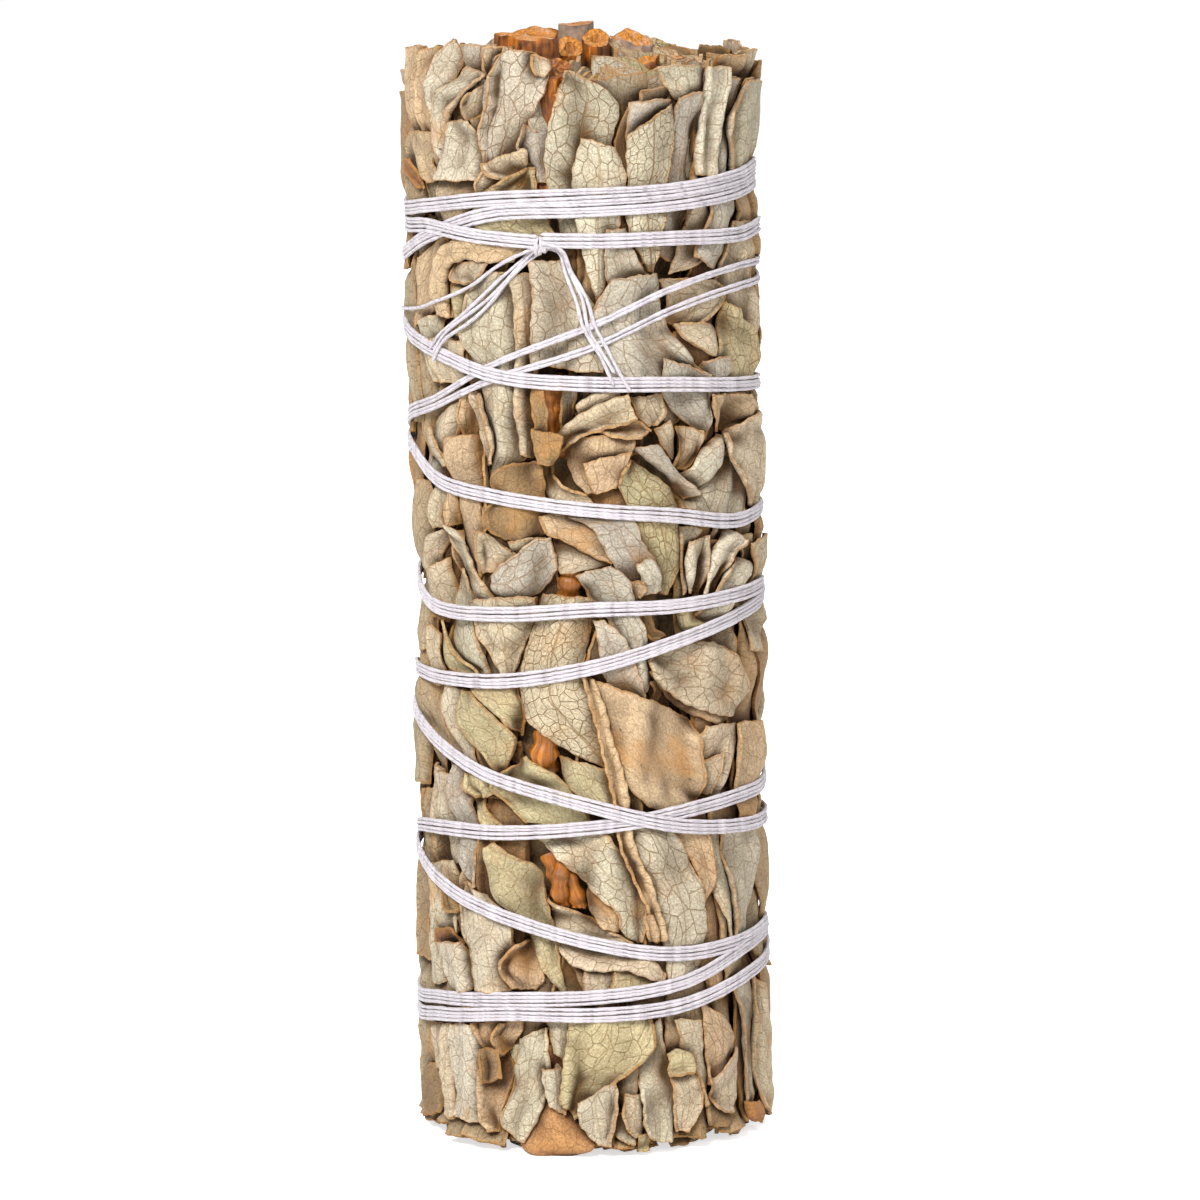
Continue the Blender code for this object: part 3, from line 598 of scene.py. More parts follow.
def layTwigs(gaps):
    # A twig is a straight round rod that lies on the lower leaves.
    for start, end, thick in gaps:
        b = np.linspace(0.0, 1.0, 24)
        s = (start[0] + (end[0] - start[0]) * b) * arcPerDegree
        z = start[1] + (end[1] - start[1]) * b
        seat = readMap(outside, s, z)
        level = float(np.percentile(seat, 30)) + 0.3 * thick
        twigParts.append((s, z, np.full_like(s, level), thick))
        a = np.linspace(-1.0, 1.0, 9)[:, None]
        length = math.hypot(s[-1] - s[0], z[-1] - z[0])
        side = np.array([z[-1] - z[0], s[0] - s[-1]]) / length
        top = level + 0.5 * thick * np.sqrt(np.maximum(1.0 - a ** 2, 0.0)) + 0.0 * b[None, :]
        raiseMap(outside, s[None, :] + side[0] * a * thick * 0.5,
                 z[None, :] + side[1] * a * thick * 0.5, top)


layTwigs(twigGaps)


# Leaves of the sides and the back: drawn from the same kinds as the front.
backLeaves = {"from": 66.0, "to": 294.0, "columns": 20, "rows": 7, "width": (2.6, 6.2),
              "length": (12.0, 26.0)}


def layBackLeaves(rule):
    places = [(row, column) for row in range(rule["rows"]) for column in range(rule["columns"])]
    for index in draw.permutation(len(places)):
        row, column = places[index]
        span = (rule["to"] - rule["from"]) / rule["columns"]
        angle = rule["from"] + span * (column + 0.5 * (row % 2)) + draw.uniform(-4.0, 4.0)
        length = draw.uniform(*rule["length"])
        middle = 6.0 + row * 14.6 + draw.uniform(-3.0, 3.0)
        low, high = middle - 0.5 * length, middle + 0.5 * length
        rim, foot = high > 93.0, low < 3.5
        low, high = max(low, draw.uniform(0.3, 2.2)), min(high, 97.8 + draw.uniform(-1.2, 1.2))
        lean = draw.normal(0.0, 2.5 if rim or foot else 8.0)
        tint = str(draw.choice(["sage", "sage", "grey", "pale", "beige", "beige", "olive", "tan"]))
        curls = draw.choice([-2.2, -1.2, -0.4, 0.3, 1.6, 2.4], 2)
        width = draw.uniform(*rule["width"])
        layPlainLeaf((angle - lean, low), (angle + lean, high), width, tint,
                     bend=draw.normal(0.0, 0.5),
                     endShares=(0.9 if foot else 0.15,
                                0.95 if rim else float(draw.choice([0.15, 0.6]))),
                     curlLeft=float(curls[0]), curlRight=float(curls[1]),
                     net=draw.uniform(0.4, 1.4), age=draw.uniform(0.1, 0.9),
                     scale=draw.uniform(0.7, 1.2))


layBackLeaves(backLeaves)


def seenPlace(points):
    # Where the line of sight through a picture point first meets the bunch's cylinder, as
    # (s, z). A line that passes beside it counts at its nearest point.
    points = np.asarray(points, float)
    focal = camera["lens"] / camera["sensor"] * camera["pictureSize"]
    x = (points[:, 0] - 0.5 * camera["pictureSize"]) / focal
    y = (0.5 * camera["pictureSize"] - points[:, 1]) / focal
    roll, up = math.radians(camera["roll"]), math.radians(camera["elevation"])
    x, y = math.cos(roll) * x + math.sin(roll) * y, -math.sin(roll) * x + math.cos(roll) * y
    ray = np.stack([x, math.cos(up) + y * math.sin(up), -math.sin(up) + y * math.cos(up)], axis=1)
    back = np.array([0.0, -math.cos(up), math.sin(up)])
    eye = np.array(camera["aim"]) + camera["distance"] * back
    a = ray[:, 0] ** 2 + ray[:, 1] ** 2
    half = ray[:, 0] * eye[0] + ray[:, 1] * eye[1]
    c = eye[0] ** 2 + eye[1] ** 2 - bunch["radius"] ** 2
    far = (-half - np.sqrt(np.maximum(half ** 2 - a * c, 0.0))) / a
    hit = eye + ray * far[:, None]
    return np.stack([np.arctan2(hit[:, 0], -hit[:, 1]) * bunch["radius"], hit[:, 2]], axis=1)


# Front leaves, from the lowest to the uppermost, in groups by where they lie. Each row is its
# colour, its left edge and its right edge as points x y of the camera's picture, and what
# differs from a plain leaf. A curl is the angle that a margin turns through: up and back over
# the leaf if positive, and under it if not.
frontLeaves = {
    "lower of the top": """
tan 401 48 402 97 408 143 / 411 46 410 97 413 138 / curlLeft -2.4 curlRight -2.4;
tan 412 51 411 97 416 135 / 430 48 422 82 428 138 / curlLeft -2 curlRight 1.5;
tan 403 133 410 163 423 184 / 426 133 428 158 434 176 /;
rust 400 163 405 176 413 188 / 404 159 410 173 417 189 / curlLeft 1.8;
grey 455 45 454 61 461 79 / 487 47 484 64 477 79 / curlRight 1.5;
beige 484 48 482 77 484 107 / 502 48 497 77 494 107 / curlLeft 2;
pale 444 40 433 51 424 71 421 94 427 115 / 445 40 449 61 443 82 433 102 428 115 / bow -0.5
    pointed 1;
beige 467 92 459 107 462 121 / 483 82 483 97 473 117 / curlLeft 2;
beige 465 120 469 143 470 179 / 477 115 479 143 484 168 / curlRight 1.8;
pale 461 67 445 83 432 97 428 120 431 143 438 166 / 477 74 462 85 448 102 440 120 442 138 452 153 /
    curlRight 2.6 age 0.9;
pale 445 122 442 148 432 179 / 460 121 468 138 476 180 / bow -0.5 curlRight 1.6;
beige 479 173 470 189 467 202 / 503 179 492 189 477 204 /;
grey 492 57 483 84 480 115 477 143 / 505 49 490 74 486 107 483 138 / curlLeft -2.4 curlRight 1.5;
pale 506 49 495 67 489 102 481 143 482 167 / 546 61 543 87 531 110 514 145 498 166 / curlLeft 2.2
    net 1.1 bow -0.5;
beige 534 57 535 66 540 77 / 547 60 546 71 543 78 / curlLeft 2.8;
grey 523 128 519 148 530 166 538 184 / 540 135 548 132 548 158 543 184 / curlLeft 2.6 bow -0.7;
beige 482 163 488 173 504 179 / 518 151 520 159 520 167 / curlLeft 1.6 curlRight -1.5;
olive 525 169 499 182 474 198 464 224 482 235 / 531 168 534 189 543 217 553 241 / net 1;
sage 664 67 670 84 681 97 701 107 / 714 67 714 97 710 133 707 158 / age 0.5;
grey 683 98 681 128 679 158 673 189 670 219 664 255 / 704 92 706 122 704 153 706 179 697 219 688 265
    / bow 0.5 curlRight 1.2;
beige 706 163 698 194 697 224 683 263 679 276 / 722 163 719 194 714 230 711 258 693 270 /;
grey 732 77 727 102 723 133 719 179 716 219 701 258 / 744 82 737 110 737 138 741 179 738 219 720 270
    / curlLeft 1.4;
sage 746 81 740 102 734 120 737 153 740 179 / 761 82 761 115 758 153 754 179 / curlLeft 2.4 age 0.8;
pale 716 67 712 102 707 138 706 176 / 730 67 724 102 719 133 717 176 / curlLeft -2.6 curlRight -2.6;
tan 617 143 624 168 631 194 640 230 / 630 107 631 143 637 194 650 230 /;
sage 565 71 553 107 545 143 543 168 551 204 563 245 / 607 90 620 107 614 138 612 173 610 209 608 245
    / net 1.3 age 0.6 bow -0.35;
sage 582 139 573 173 576 217 586 263 598 301 / 616 148 627 179 622 219 613 263 599 301 / net 1.1
    scale 0.9 bow -0.3;
grey 631 103 629 122 630 148 / 676 100 671 115 658 143 / net 0;
sage 629 135 628 163 631 189 630 219 639 247 655 273 / 678 104 680 133 677 163 671 189 668 222
    659 273 / net 1.8 scale 0.62 bow -0.4;
""",
    "between the second pass and the fourth": """
tan 411 258 410 293 410 327 / 434 237 432 270 428 309 / curlRight 1.6;
beige 739 222 732 255 729 281 729 306 / 754 222 752 255 755 306 758 339 / curlLeft 1.4;
beige 756 270 757 306 758 357 / 760 281 761 319 761 357 /;
grey 607 230 606 255 608 281 613 293 / 627 230 636 255 645 270 656 279 /;
sage 415 319 418 352 423 383 / 433 316 436 352 438 383 / curlLeft -2;
beige 424 339 423 362 431 383 / 457 342 455 362 454 383 /;
olive 441 276 446 301 454 337 / 464 276 461 304 459 339 / curlLeft 2.2;
tan 427 288 433 309 443 322 / 438 283 442 304 448 318 /;
sage 470 271 461 304 458 344 467 362 474 390 479 426 485 449 483 482 / 508 276 512 306 515 357
    515 393 518 426 520 457 502 472 / net 0.9 bow -0.4;
beige 448 264 450 277 464 284 / 484 264 479 273 470 282 / curlLeft 1.8;
tan 520 251 484 246 448 243 431 260 427 288 433 315 / 510 261 484 259 455 257 441 266 438 284
    444 317 / curlLeft -2.4 curlRight -2.4;
beige 508 277 514 314 516 357 514 388 516 426 518 457 / 525 274 528 306 526 357 527 388 527 426
    525 461 / curlLeft -1.8 curlRight 2.4 age 0.6;
sage 526 263 531 293 528 332 527 364 / 567 263 579 288 597 310 605 332 604 373 / net 1 bow -0.25;
tan 687 332 686 349 701 365 / 706 329 721 352 716 378 / age 0.9 curlLeft 1.6;
beige 667 281 679 301 671 325 / 719 281 728 290 704 326 / net 1 curlRight 1.8;
beige 681 325 688 337 706 349 716 355 / 706 323 725 332 724 344 719 356 /;
olive 729 302 727 332 722 355 732 376 / 743 313 755 335 758 357 758 378 / net 1.2 bow -0.5;
grey 710 362 712 375 719 395 / 729 356 734 375 732 395 /;
grey 612 280 596 307 588 329 604 357 612 380 / 663 275 671 319 691 352 713 377 / net 0.8 scale 1.3
    bow -0.2;
""",
    "between the fourth pass and the fifth": """
beige 420 426 423 444 438 464 / 452 400 449 426 442 465 / curlLeft -1.6;
tan 452 395 451 431 457 457 / 460 394 460 431 462 457 /;
beige 416 431 420 457 425 465 / 421 428 433 454 438 467 /;
beige 462 394 466 418 477 447 476 467 / 468 394 477 421 484 441 482 466 / curlLeft -1.4
    curlRight 2.4;
grey 561 393 559 416 558 439 / 576 391 570 416 566 435 /;
beige 577 411 594 400 621 393 / 580 423 602 411 624 402 / curlLeft -2.4 curlRight -2.4;
beige 668 404 670 416 681 427 / 696 408 697 418 686 428 / age 0.8;
grey 669 360 670 395 683 412 704 428 714 440 / 712 375 716 395 717 418 716 440 / bow -0.3;
beige 663 431 670 446 684 462 / 677 423 684 434 687 454 /;
tan 718 395 722 413 730 432 / 752 394 758 411 741 429 / curlLeft 1.6;
tan 722 444 716 457 716 462 / 732 441 729 457 722 467 /;
beige 693 428 699 447 689 470 / 707 431 707 453 694 471 / curlLeft 2 curlRight 1.5;
sage 732 441 714 467 699 485 697 510 / 738 454 747 472 753 492 750 514 / net 1;
pale 730 437 707 462 693 483 / 737 447 717 472 702 494 / curlLeft -1.8 curlRight -1.5;
beige 734 431 736 454 744 472 755 505 / 757 411 763 431 765 462 765 505 / curlLeft 2.4 age 0.7;
grey 636 448 655 462 681 480 701 500 / 663 447 676 465 694 483 707 493 / curlLeft -1.6
    curlRight -2.4 bow -0.6;
beige 637 400 643 416 656 428 / 666 396 667 413 661 428 / net 1 curlRight 1.5;
tan 563 441 566 467 576 485 589 496 / 638 437 633 454 626 469 620 490 / net 0.6 age 0.9;
tan 597 428 617 433 645 437 / 602 424 630 425 653 434 / curlLeft 1.6 curlRight 1.6;
tan 584 464 589 482 595 495 / 632 453 625 472 617 490 / net 0.7 age 0.7;
beige 631 399 589 416 558 439 539 459 534 477 542 495 566 504 597 507 / 636 416 604 425 579 435
    557 452 543 468 547 483 561 494 589 500 / curlLeft -1.8 curlRight 2;
olive 633 461 621 482 630 505 642 533 660 569 669 596 / 637 464 670 485 689 500 691 533 691 561
    675 597 / net 1.5 scale 0.85 bow -0.25;
""",
    "brown leaves left of the middle": """
tan 468 440 470 469 474 502 476 523 / 474 457 477 492 478 523 477 533 / curlRight 1.8 age 0.9;
tan 443 437 442 464 447 502 452 533 472 579 / 464 437 467 469 470 495 474 533 474 579 / net 0.5
    bow -0.4;
brown 498 468 489 482 495 500 484 511 488 531 503 541 / 535 464 540 482 538 500 543 518 543 533
    528 540 / age 0.7 net 0.6 curlLeft 1.6;
beige 505 543 508 556 520 569 / 541 540 535 553 528 569 /;
beige 477 533 478 559 482 574 / 489 543 512 559 502 569 / curlLeft 1.8 age 0.8;
beige 548 538 553 559 559 576 / 588 550 612 565 580 571 / net 0.8 age 0.5;
tan 536 518 543 534 563 543 589 556 614 565 / 563 516 594 531 604 543 616 563 / age 0.9
    curlRight -1.5;
grey 566 519 594 531 604 546 619 569 630 580 648 585 / 612 523 639 523 645 541 661 564 666 574
    656 585 / age 0.8 bow -0.4;
grey 640 564 648 579 651 597 / 649 560 659 576 664 592 / curlLeft -1.2 curlRight -1.2;
tan 632 584 633 594 639 600 / 645 583 647 592 644 599 /;
grey 487 579 497 568 515 556 531 543 548 541 / 488 592 498 600 520 601 545 584 556 570 / net 0.9
    bow -0.3;
""",
    "left side, fifth to eighth pass": """
beige 420 482 420 502 424 528 / 438 482 438 502 442 527 / curlLeft -2;
tan 438 482 439 502 442 527 / 445 490 446 508 446 525 /;
beige 433 531 420 543 418 564 424 574 / 438 531 431 548 429 564 432 574 / curlLeft -2;
sage 434 513 443 546 455 576 467 604 / 448 533 464 559 477 582 488 604 /;
beige 419 579 423 599 426 610 / 436 559 439 584 442 604 /;
sage 445 574 442 610 442 635 451 661 468 676 / 454 570 463 604 464 625 474 650 477 676 /;
olive 427 630 433 661 448 676 / 432 622 441 650 464 676 / curlRight 1.5;
beige 464 602 474 635 487 663 492 678 / 529 599 526 625 513 656 504 678 / net 1;
sage 433 686 438 714 454 755 461 780 / 451 692 459 722 467 763 474 788 /;
beige 423 625 424 661 425 686 / 433 635 433 661 433 686 / curlLeft -1.5;
olive 459 692 484 712 497 722 / 502 692 510 715 506 737 / curlRight 1.4;
olive 452 692 455 719 474 747 491 776 / 458 694 485 719 506 738 497 774 / curlLeft 1.2 age 0.5;
""",
    "right side nest": """
sage 693 528 691 559 693 597 / 714 531 704 543 703 576 /;
tan 716 543 714 574 710 604 / 739 543 742 579 732 610 / age 0.8;
olive 744 538 753 559 747 584 739 604 / 757 533 760 564 758 594 752 615 / curlLeft 2;
pale 701 543 697 564 701 594 / 716 538 710 564 707 594 / curlLeft -2 curlRight 2.2;
pale 742 532 723 556 716 579 712 597 / 748 539 733 559 726 579 720 597 / curlLeft -2.2 curlRight 2;
pale 747 559 729 582 716 610 704 626 / 757 564 742 590 727 615 716 629 / curlLeft 2 curlRight -2;
olive 688 607 693 625 706 633 / 702 603 704 620 715 628 / curlLeft -2.2;
beige 753 543 757 584 753 635 752 650 / 765 533 766 584 763 635 762 650 / curlRight -1.5;
brown 646 617 653 635 670 641 / 656 613 661 630 676 638 / curlLeft 2 age 1;
""",
    "middle": """
grey 577 576 594 597 612 615 630 648 647 694 / 612 568 628 579 635 597 643 622 661 679 / net 0.8
    curlLeft 2 bow -0.6;
grey 595 622 602 656 605 676 624 696 648 700 / 604 622 628 645 638 673 648 700 /;
tan 655 684 663 696 658 704 / 670 684 671 696 665 707 /;
beige 538 597 526 635 515 666 513 694 515 712 538 733 563 750 610 771 / 593 601 590 635 584 661
    584 686 597 712 605 737 611 770 / net 1.7 scale 0.72 bow -0.25 age 0.6;
tan 658 673 681 696 706 712 735 723 / 665 673 686 690 711 703 739 714 / curlLeft -1.8;
beige 655 661 658 672 681 694 707 707 740 715 / 668 652 689 648 722 644 745 666 750 687 / net 1
    age 0.6 curlLeft -1.2 bow -0.3;
beige 716 727 706 747 707 780 715 800 / 743 724 740 750 737 780 732 800 / curlLeft 1.6;
tan 743 724 742 752 743 780 744 795 / 762 721 763 752 763 780 757 795 / curlLeft 1.2;
beige 709 763 710 783 714 795 / 727 754 724 780 722 795 / curlLeft 1.2;
""",
    "lower third": """
beige 421 765 422 795 423 821 / 431 770 432 795 431 821 / curlLeft -1.6;
sage 431 772 432 821 438 864 / 444 777 442 821 452 864 / curlLeft -2;
grey 444 765 445 806 457 857 468 887 / 460 770 463 806 469 844 471 887 / curlLeft -1.6;
olive 462 788 469 811 485 844 / 472 798 484 821 508 835 /;
olive 460 775 467 793 474 798 / 489 780 489 790 478 798 / curlLeft 1.6 curlRight 2;
olive 500 773 489 785 505 811 520 826 / 520 760 553 780 576 803 590 825 / net 0.4;
olive 557 760 564 785 584 803 / 609 772 612 795 615 813 /;
sage 419 864 420 923 424 984 / 426 869 427 923 434 983 /;
sage 424 864 426 895 433 933 / 441 862 444 895 451 933 / curlLeft -2 curlRight -1.6 age 1;
rust 425 931 428 942 437 945 / 451 929 453 939 454 946 / age 1 curlLeft 1.6;
pale 434 943 441 966 448 992 / 452 943 457 964 462 992 / curlLeft -2.2 curlRight -2.2;
brown 441 890 442 905 456 911 / 451 890 458 900 459 908 / curlLeft 2.2;
sage 461 882 458 913 464 959 470 992 / 477 897 502 923 505 953 512 993 / net 0.6 bow -0.3;
tan 517 945 499 969 510 992 / 518 943 539 984 529 993 / curlLeft 2.4 age 0.6;
beige 540 902 547 923 566 936 604 945 / 553 908 579 919 604 931 635 946 / curlLeft -1.2;
tan 588 890 589 909 604 931 / 594 895 617 911 620 934 / age 0.9;
beige 563 959 576 979 584 997 / 584 970 590 982 594 996 /;
beige 584 969 584 996 / 616 970 612 996 /;
olive 618 969 611 996 / 653 972 656 996 / net 0.8;
beige 554 948 571 965 599 970 630 969 667 983 / 563 946 594 950 630 958 655 963 669 976 / net 0.8
    curlLeft -1;
olive 480 849 485 874 492 900 513 923 538 964 564 997 / 488 845 510 862 533 877 539 897 554 959
    563 997 / net 0.5 curlLeft -1.2;
sage 716 828 719 869 727 908 735 938 / 730 831 730 869 735 895 739 938 / curlLeft -1.2;
sage 732 831 737 882 741 938 / 757 828 758 882 756 933 / curlLeft 1.6;
tan 677 832 691 847 704 872 707 898 / 714 830 717 862 717 887 710 900 / age 0.5;
tan 593 682 603 717 617 758 627 783 656 810 / 704 723 706 750 712 783 713 814 / net 0.35 age 1
    bow -0.2;
sage 627 823 642 864 655 895 665 933 670 959 672 984 / 674 828 691 849 702 877 709 908 709 943
    703 976 / net 1.1 scale 1.25 bow -0.25;
sage 533 843 559 864 584 885 604 902 618 913 624 933 642 945 / 563 837 604 835 620 854 638 882
    648 908 647 923 644 943 / net 1 age 0.5 bow -0.25;
tan 586 681 597 712 606 745 614 780 622 811 626 844 645 890 664 943 / 592 681 603 714 612 750
    621 780 628 813 631 844 651 892 667 941 / curlLeft 1.6 curlRight -1.2;
tan 647 916 651 928 656 943 / 651 915 657 928 660 943 / curlLeft 1.4;
""",
    "foot": """
russet 543 1048 535 1086 522 1124 516 1147 543 1165 / 553 1048 563 1073 566 1112 589 1135 594 1144
    549 1165 / age 0.8 net 0.6 bow -0.3;
brown 420 1068 420 1091 422 1115 / 430 1063 433 1086 432 1113 / curlLeft -2 curlRight -1.6;
beige 424 1025 427 1050 431 1068 / 434 1025 436 1050 438 1071 /;
beige 434 1025 436 1061 440 1115 / 446 1025 446 1061 450 1120 / curlLeft -1.8;
pale 447 1025 449 1061 453 1086 453 1117 / 463 1025 470 1050 472 1086 477 1124 / curlLeft -1.8
    curlRight -1.6 age 0.9;
tan 469 1025 477 1048 477 1086 480 1122 487 1134 / 492 1025 495 1061 503 1068 497 1099 490 1134 /
    curlLeft -1.2 net 0.6;
tan 496 1025 491 1043 496 1057 / 515 1025 513 1035 503 1046 / curlLeft 2 age 0.8;
brown 479 1050 481 1066 482 1084 / 492 1050 492 1066 494 1081 / curlLeft 2 curlRight 2;
sage 543 1025 548 1040 553 1056 / 573 1025 568 1061 563 1066 /;
sage 512 1043 508 1068 499 1107 495 1124 515 1143 / 541 1031 543 1073 536 1107 519 1143 / net 0.8
    curlRight -1.2;
pale 543 1071 545 1084 551 1110 / 563 1073 564 1086 559 1115 / curlLeft -1.6 curlRight 2.4;
sage 581 1094 584 1122 599 1145 / 604 1081 607 1119 605 1148 / curlLeft -1;
sage 612 1073 617 1107 625 1121 / 640 1061 638 1099 630 1121 /;
beige 604 1085 604 1124 602 1145 / 612 1085 613 1132 611 1147 / curlLeft 1.6 curlRight 1.6;
sage 615 1117 617 1137 630 1145 / 638 1112 638 1137 635 1145 /;
beige 630 1096 631 1122 639 1138 / 643 1096 644 1122 644 1138 / curlLeft 1.6;
olive 640 1136 641 1153 / 652 1136 651 1153 /;
sage 645 1048 646 1081 649 1119 653 1140 / 663 1021 668 1056 679 1073 679 1112 671 1143 / net 0.5
    curlLeft -1.2 curlRight -1.2;
brown 688 1109 690 1129 696 1139 / 710 1104 713 1124 709 1139 / curlLeft -1.6 curlRight -1.6 age 1;
brown 715 1104 716 1124 722 1127 / 735 1101 735 1119 732 1125 / curlLeft -1.6;
beige 679 1068 681 1107 684 1133 / 694 1064 707 1099 691 1133 / curlLeft 1.2;
beige 679 1021 689 1050 707 1086 711 1107 / 704 1021 707 1056 714 1081 713 1104 /;
olive 671 1061 681 1056 696 1059 / 671 1073 684 1071 698 1070 / curlLeft -2.2 curlRight 1.6;
tan 707 1004 709 1048 714 1086 / 730 1021 739 1048 719 1087 / net 1;
beige 719 1078 721 1101 729 1112 / 742 1047 740 1086 737 1112 / curlLeft 1.2;
sage 735 979 750 1022 754 1061 753 1102 / 755 974 758 1010 758 1061 758 1104 / curlLeft 1.4;
rust 753 1102 753 1114 757 1121 / 765 1102 767 1112 765 1121 / curlLeft -1.8 curlRight -1.8;
beige 758 974 760 1022 761 1073 765 1108 / 764 989 769 1035 770 1073 776 1115 / curlLeft 1.6 age 1;
olive 573 1018 569 1045 565 1075 561 1108 / 651 1016 650 1048 616 1079 571 1118 / net 0.9
    curlLeft -1.2 curlRight 1.6;
sage 578 1106 580 1124 600 1147 / 612 1084 614 1108 606 1147 / net 0.8 curlRight 1.8;
""",
    "bits beside and below the twig of the upper gap": """
brown 528 382 529 402 533 424 530 444 / 543 382 541 396 545 412 541 440 / age 1;
brown 529 431 531 447 536 466 / 561 437 558 452 549 466 / age 1;
""",
}
fillLeaves = {"columns": 13, "rows": 6, "width": (3.6, 5.6), "length": (15.0, 24.0)}


def layFrontLeaves(rule):
    # Plain upright leaves fill the ground between the leaves of the table, which lie over them.
    for row in range(rule["rows"]):
        for column in range(rule["columns"]):
            angle = -96.0 + 192.0 * (column + 0.5 * (row % 2)) / rule["columns"]
            angle = angle + draw.uniform(-3.0, 3.0)
            low = max(draw.uniform(0.6, 2.0), -3.0 + row * 17.0 + draw.uniform(-3.0, 3.0))
            high = min(low + draw.uniform(*rule["length"]), 97.5 + draw.uniform(-1.5, 0.5))
            width = draw.uniform(*rule["width"])
            tint = str(draw.choice(["sage", "beige", "grey", "beige", "tan"]))
            curls = draw.choice([-2.2, -1.0, 0.3, 1.8], 2)
            lean = draw.uniform(-4.0, 4.0)
            if high - low > 6.0 and not coversHollow(angle, low, high, width):
                layPlainLeaf((angle - lean, low), (angle + lean, high), width, tint,
                             endShares=(0.9 if low < 3.0 else 0.2, 0.95 if high > 95.0 else 0.2),
                             curlLeft=float(curls[0]), curlRight=float(curls[1]), under=True,
                             age=0.5)
    # A row of the table is read as colour and left edge / right edge / names with values.
    for leaf in "".join(frontLeaves.values()).split(";")[:-1]:
        (tint, *left), right, more = (words.split() for words in leaf.split("/"))
        left, right = (seenPlace(np.reshape(edge, (-1, 2))) for edge in (left, right))
        angle = 0.5 * float(left[:, 0].mean() + right[:, 0].mean()) / arcPerDegree
        layLeaf(sprigOf(angle), left, right, tint, **dict(zip(more[::2], map(float, more[1::2]))))


layFrontLeaves(fillLeaves)
print("outer leaves laid, mean radius", round(float(outside[:, 20:480].mean()), 2))


# Route of the thread. Each turn is its height at these angles, and goes on by the back to the
# next turn's first height. It is the route of the part's own thread, with more heights in front.
turnAngles = (-90.0, -60.0, -30.0, 0.0, 30.0, 60.0, 90.0)
turns = (
    (84.4, 83.9, 83.4, 83.2, 83.1, 82.8, 83.0),
    (74.4, 73.0, 71.1, 70.5, 70.1, 69.3, 68.6),
    (63.5, 61.0, 60.1, 59.1, 58.2, 56.9, 57.3),
    (51.5, 49.5, 49.6, 50.2, 50.1, 50.3, 50.0),
    (39.0, 36.8, 34.5, 32.4, 30.1, 29.0, 28.6),
    (26.2, 24.4, 21.9, 19.8, 18.4, 18.5, 18.6),
    (12.6, 13.5, 14.4, 14.9, 15.7, 17.7, 18.0),
    (10.9, 11.9, 13.0, 13.3, 13.6, 15.2, 16.2),
    (28.0, 29.2, 29.7, 30.4, 31.2, 31.8, 32.3),
    (43.0, 43.0, 43.4, 44.8, 46.8, 48.4, 49.5),
    (66.0, 68.1, 71.5, 74.4, 77.6, 79.0, 79.0),
    (80.8, 83.2, 85.5, 85.9, 86.1, 86.6, 87.0),
    (85.0, 85.8, 86.8, 87.2, 87.4, 88.0, 88.4),
    (83.6, 84.0, 83.4, 82.9, 82.9, 82.9, 82.9),
)
threadShape = {
    "strand": 0.34, "strands": 4, "press": 0.55, "seat": 16.08, "step": 0.35, "sides": 7,
    "firstTurn": 0.2139, "lastTurn": 13.2139,      # both ends at the knot
    "knot": (-13.0, 82.8),                        # angle and height
    "parting": (10.06, 10.62, 1.2),               # from turn, to turn, and width
}


def threadHeight(turn):
    # Cubic curve through the heights, with each slope from the neighbours on either side.
    knots = np.array([k + (angle + 90.0) / 360.0 for k in range(len(turns))
                      for angle in turnAngles])
    heights = np.array([height for row in turns for height in row])
    slope = np.empty_like(heights)
    slope[1:-1] = (heights[2:] - heights[:-2]) / (knots[2:] - knots[:-2])
    slope[0], slope[-1] = slope[1], slope[-2]
    return cubicAt(knots, heights, slope, turn)


def tautOver(ground, rounds):
    # A string pulled tight over a profile: it touches the high points and bridges the rest.
    level = ground.copy()
    for _ in range(rounds):
        before = np.concatenate([level[:1], level[:-1]])
        after = np.concatenate([level[1:], level[-1:]])
        level = np.maximum(ground, 0.5 * (before + after))
    return level


# How the thread presses the leaves, and the shape of the whole: a foot that draws in, and a
# waist below the upper third, deeper at the left by the lean.
squeeze = {
    "skin": 0.45,               # from the mean surface out to the bunch's radius
    "foot": 0.25, "footHeight": 6.0,
    "waist": 0.36, "lean": 0.26, "waistTop": 78.0, "waistFall": 16.0, "waistRise": 14.0,
    "swell": 1.3, "from": 0.8, "over": 1.6,     # beside a pass: how far out, from where, how soon
    "soften": 0.08,
}


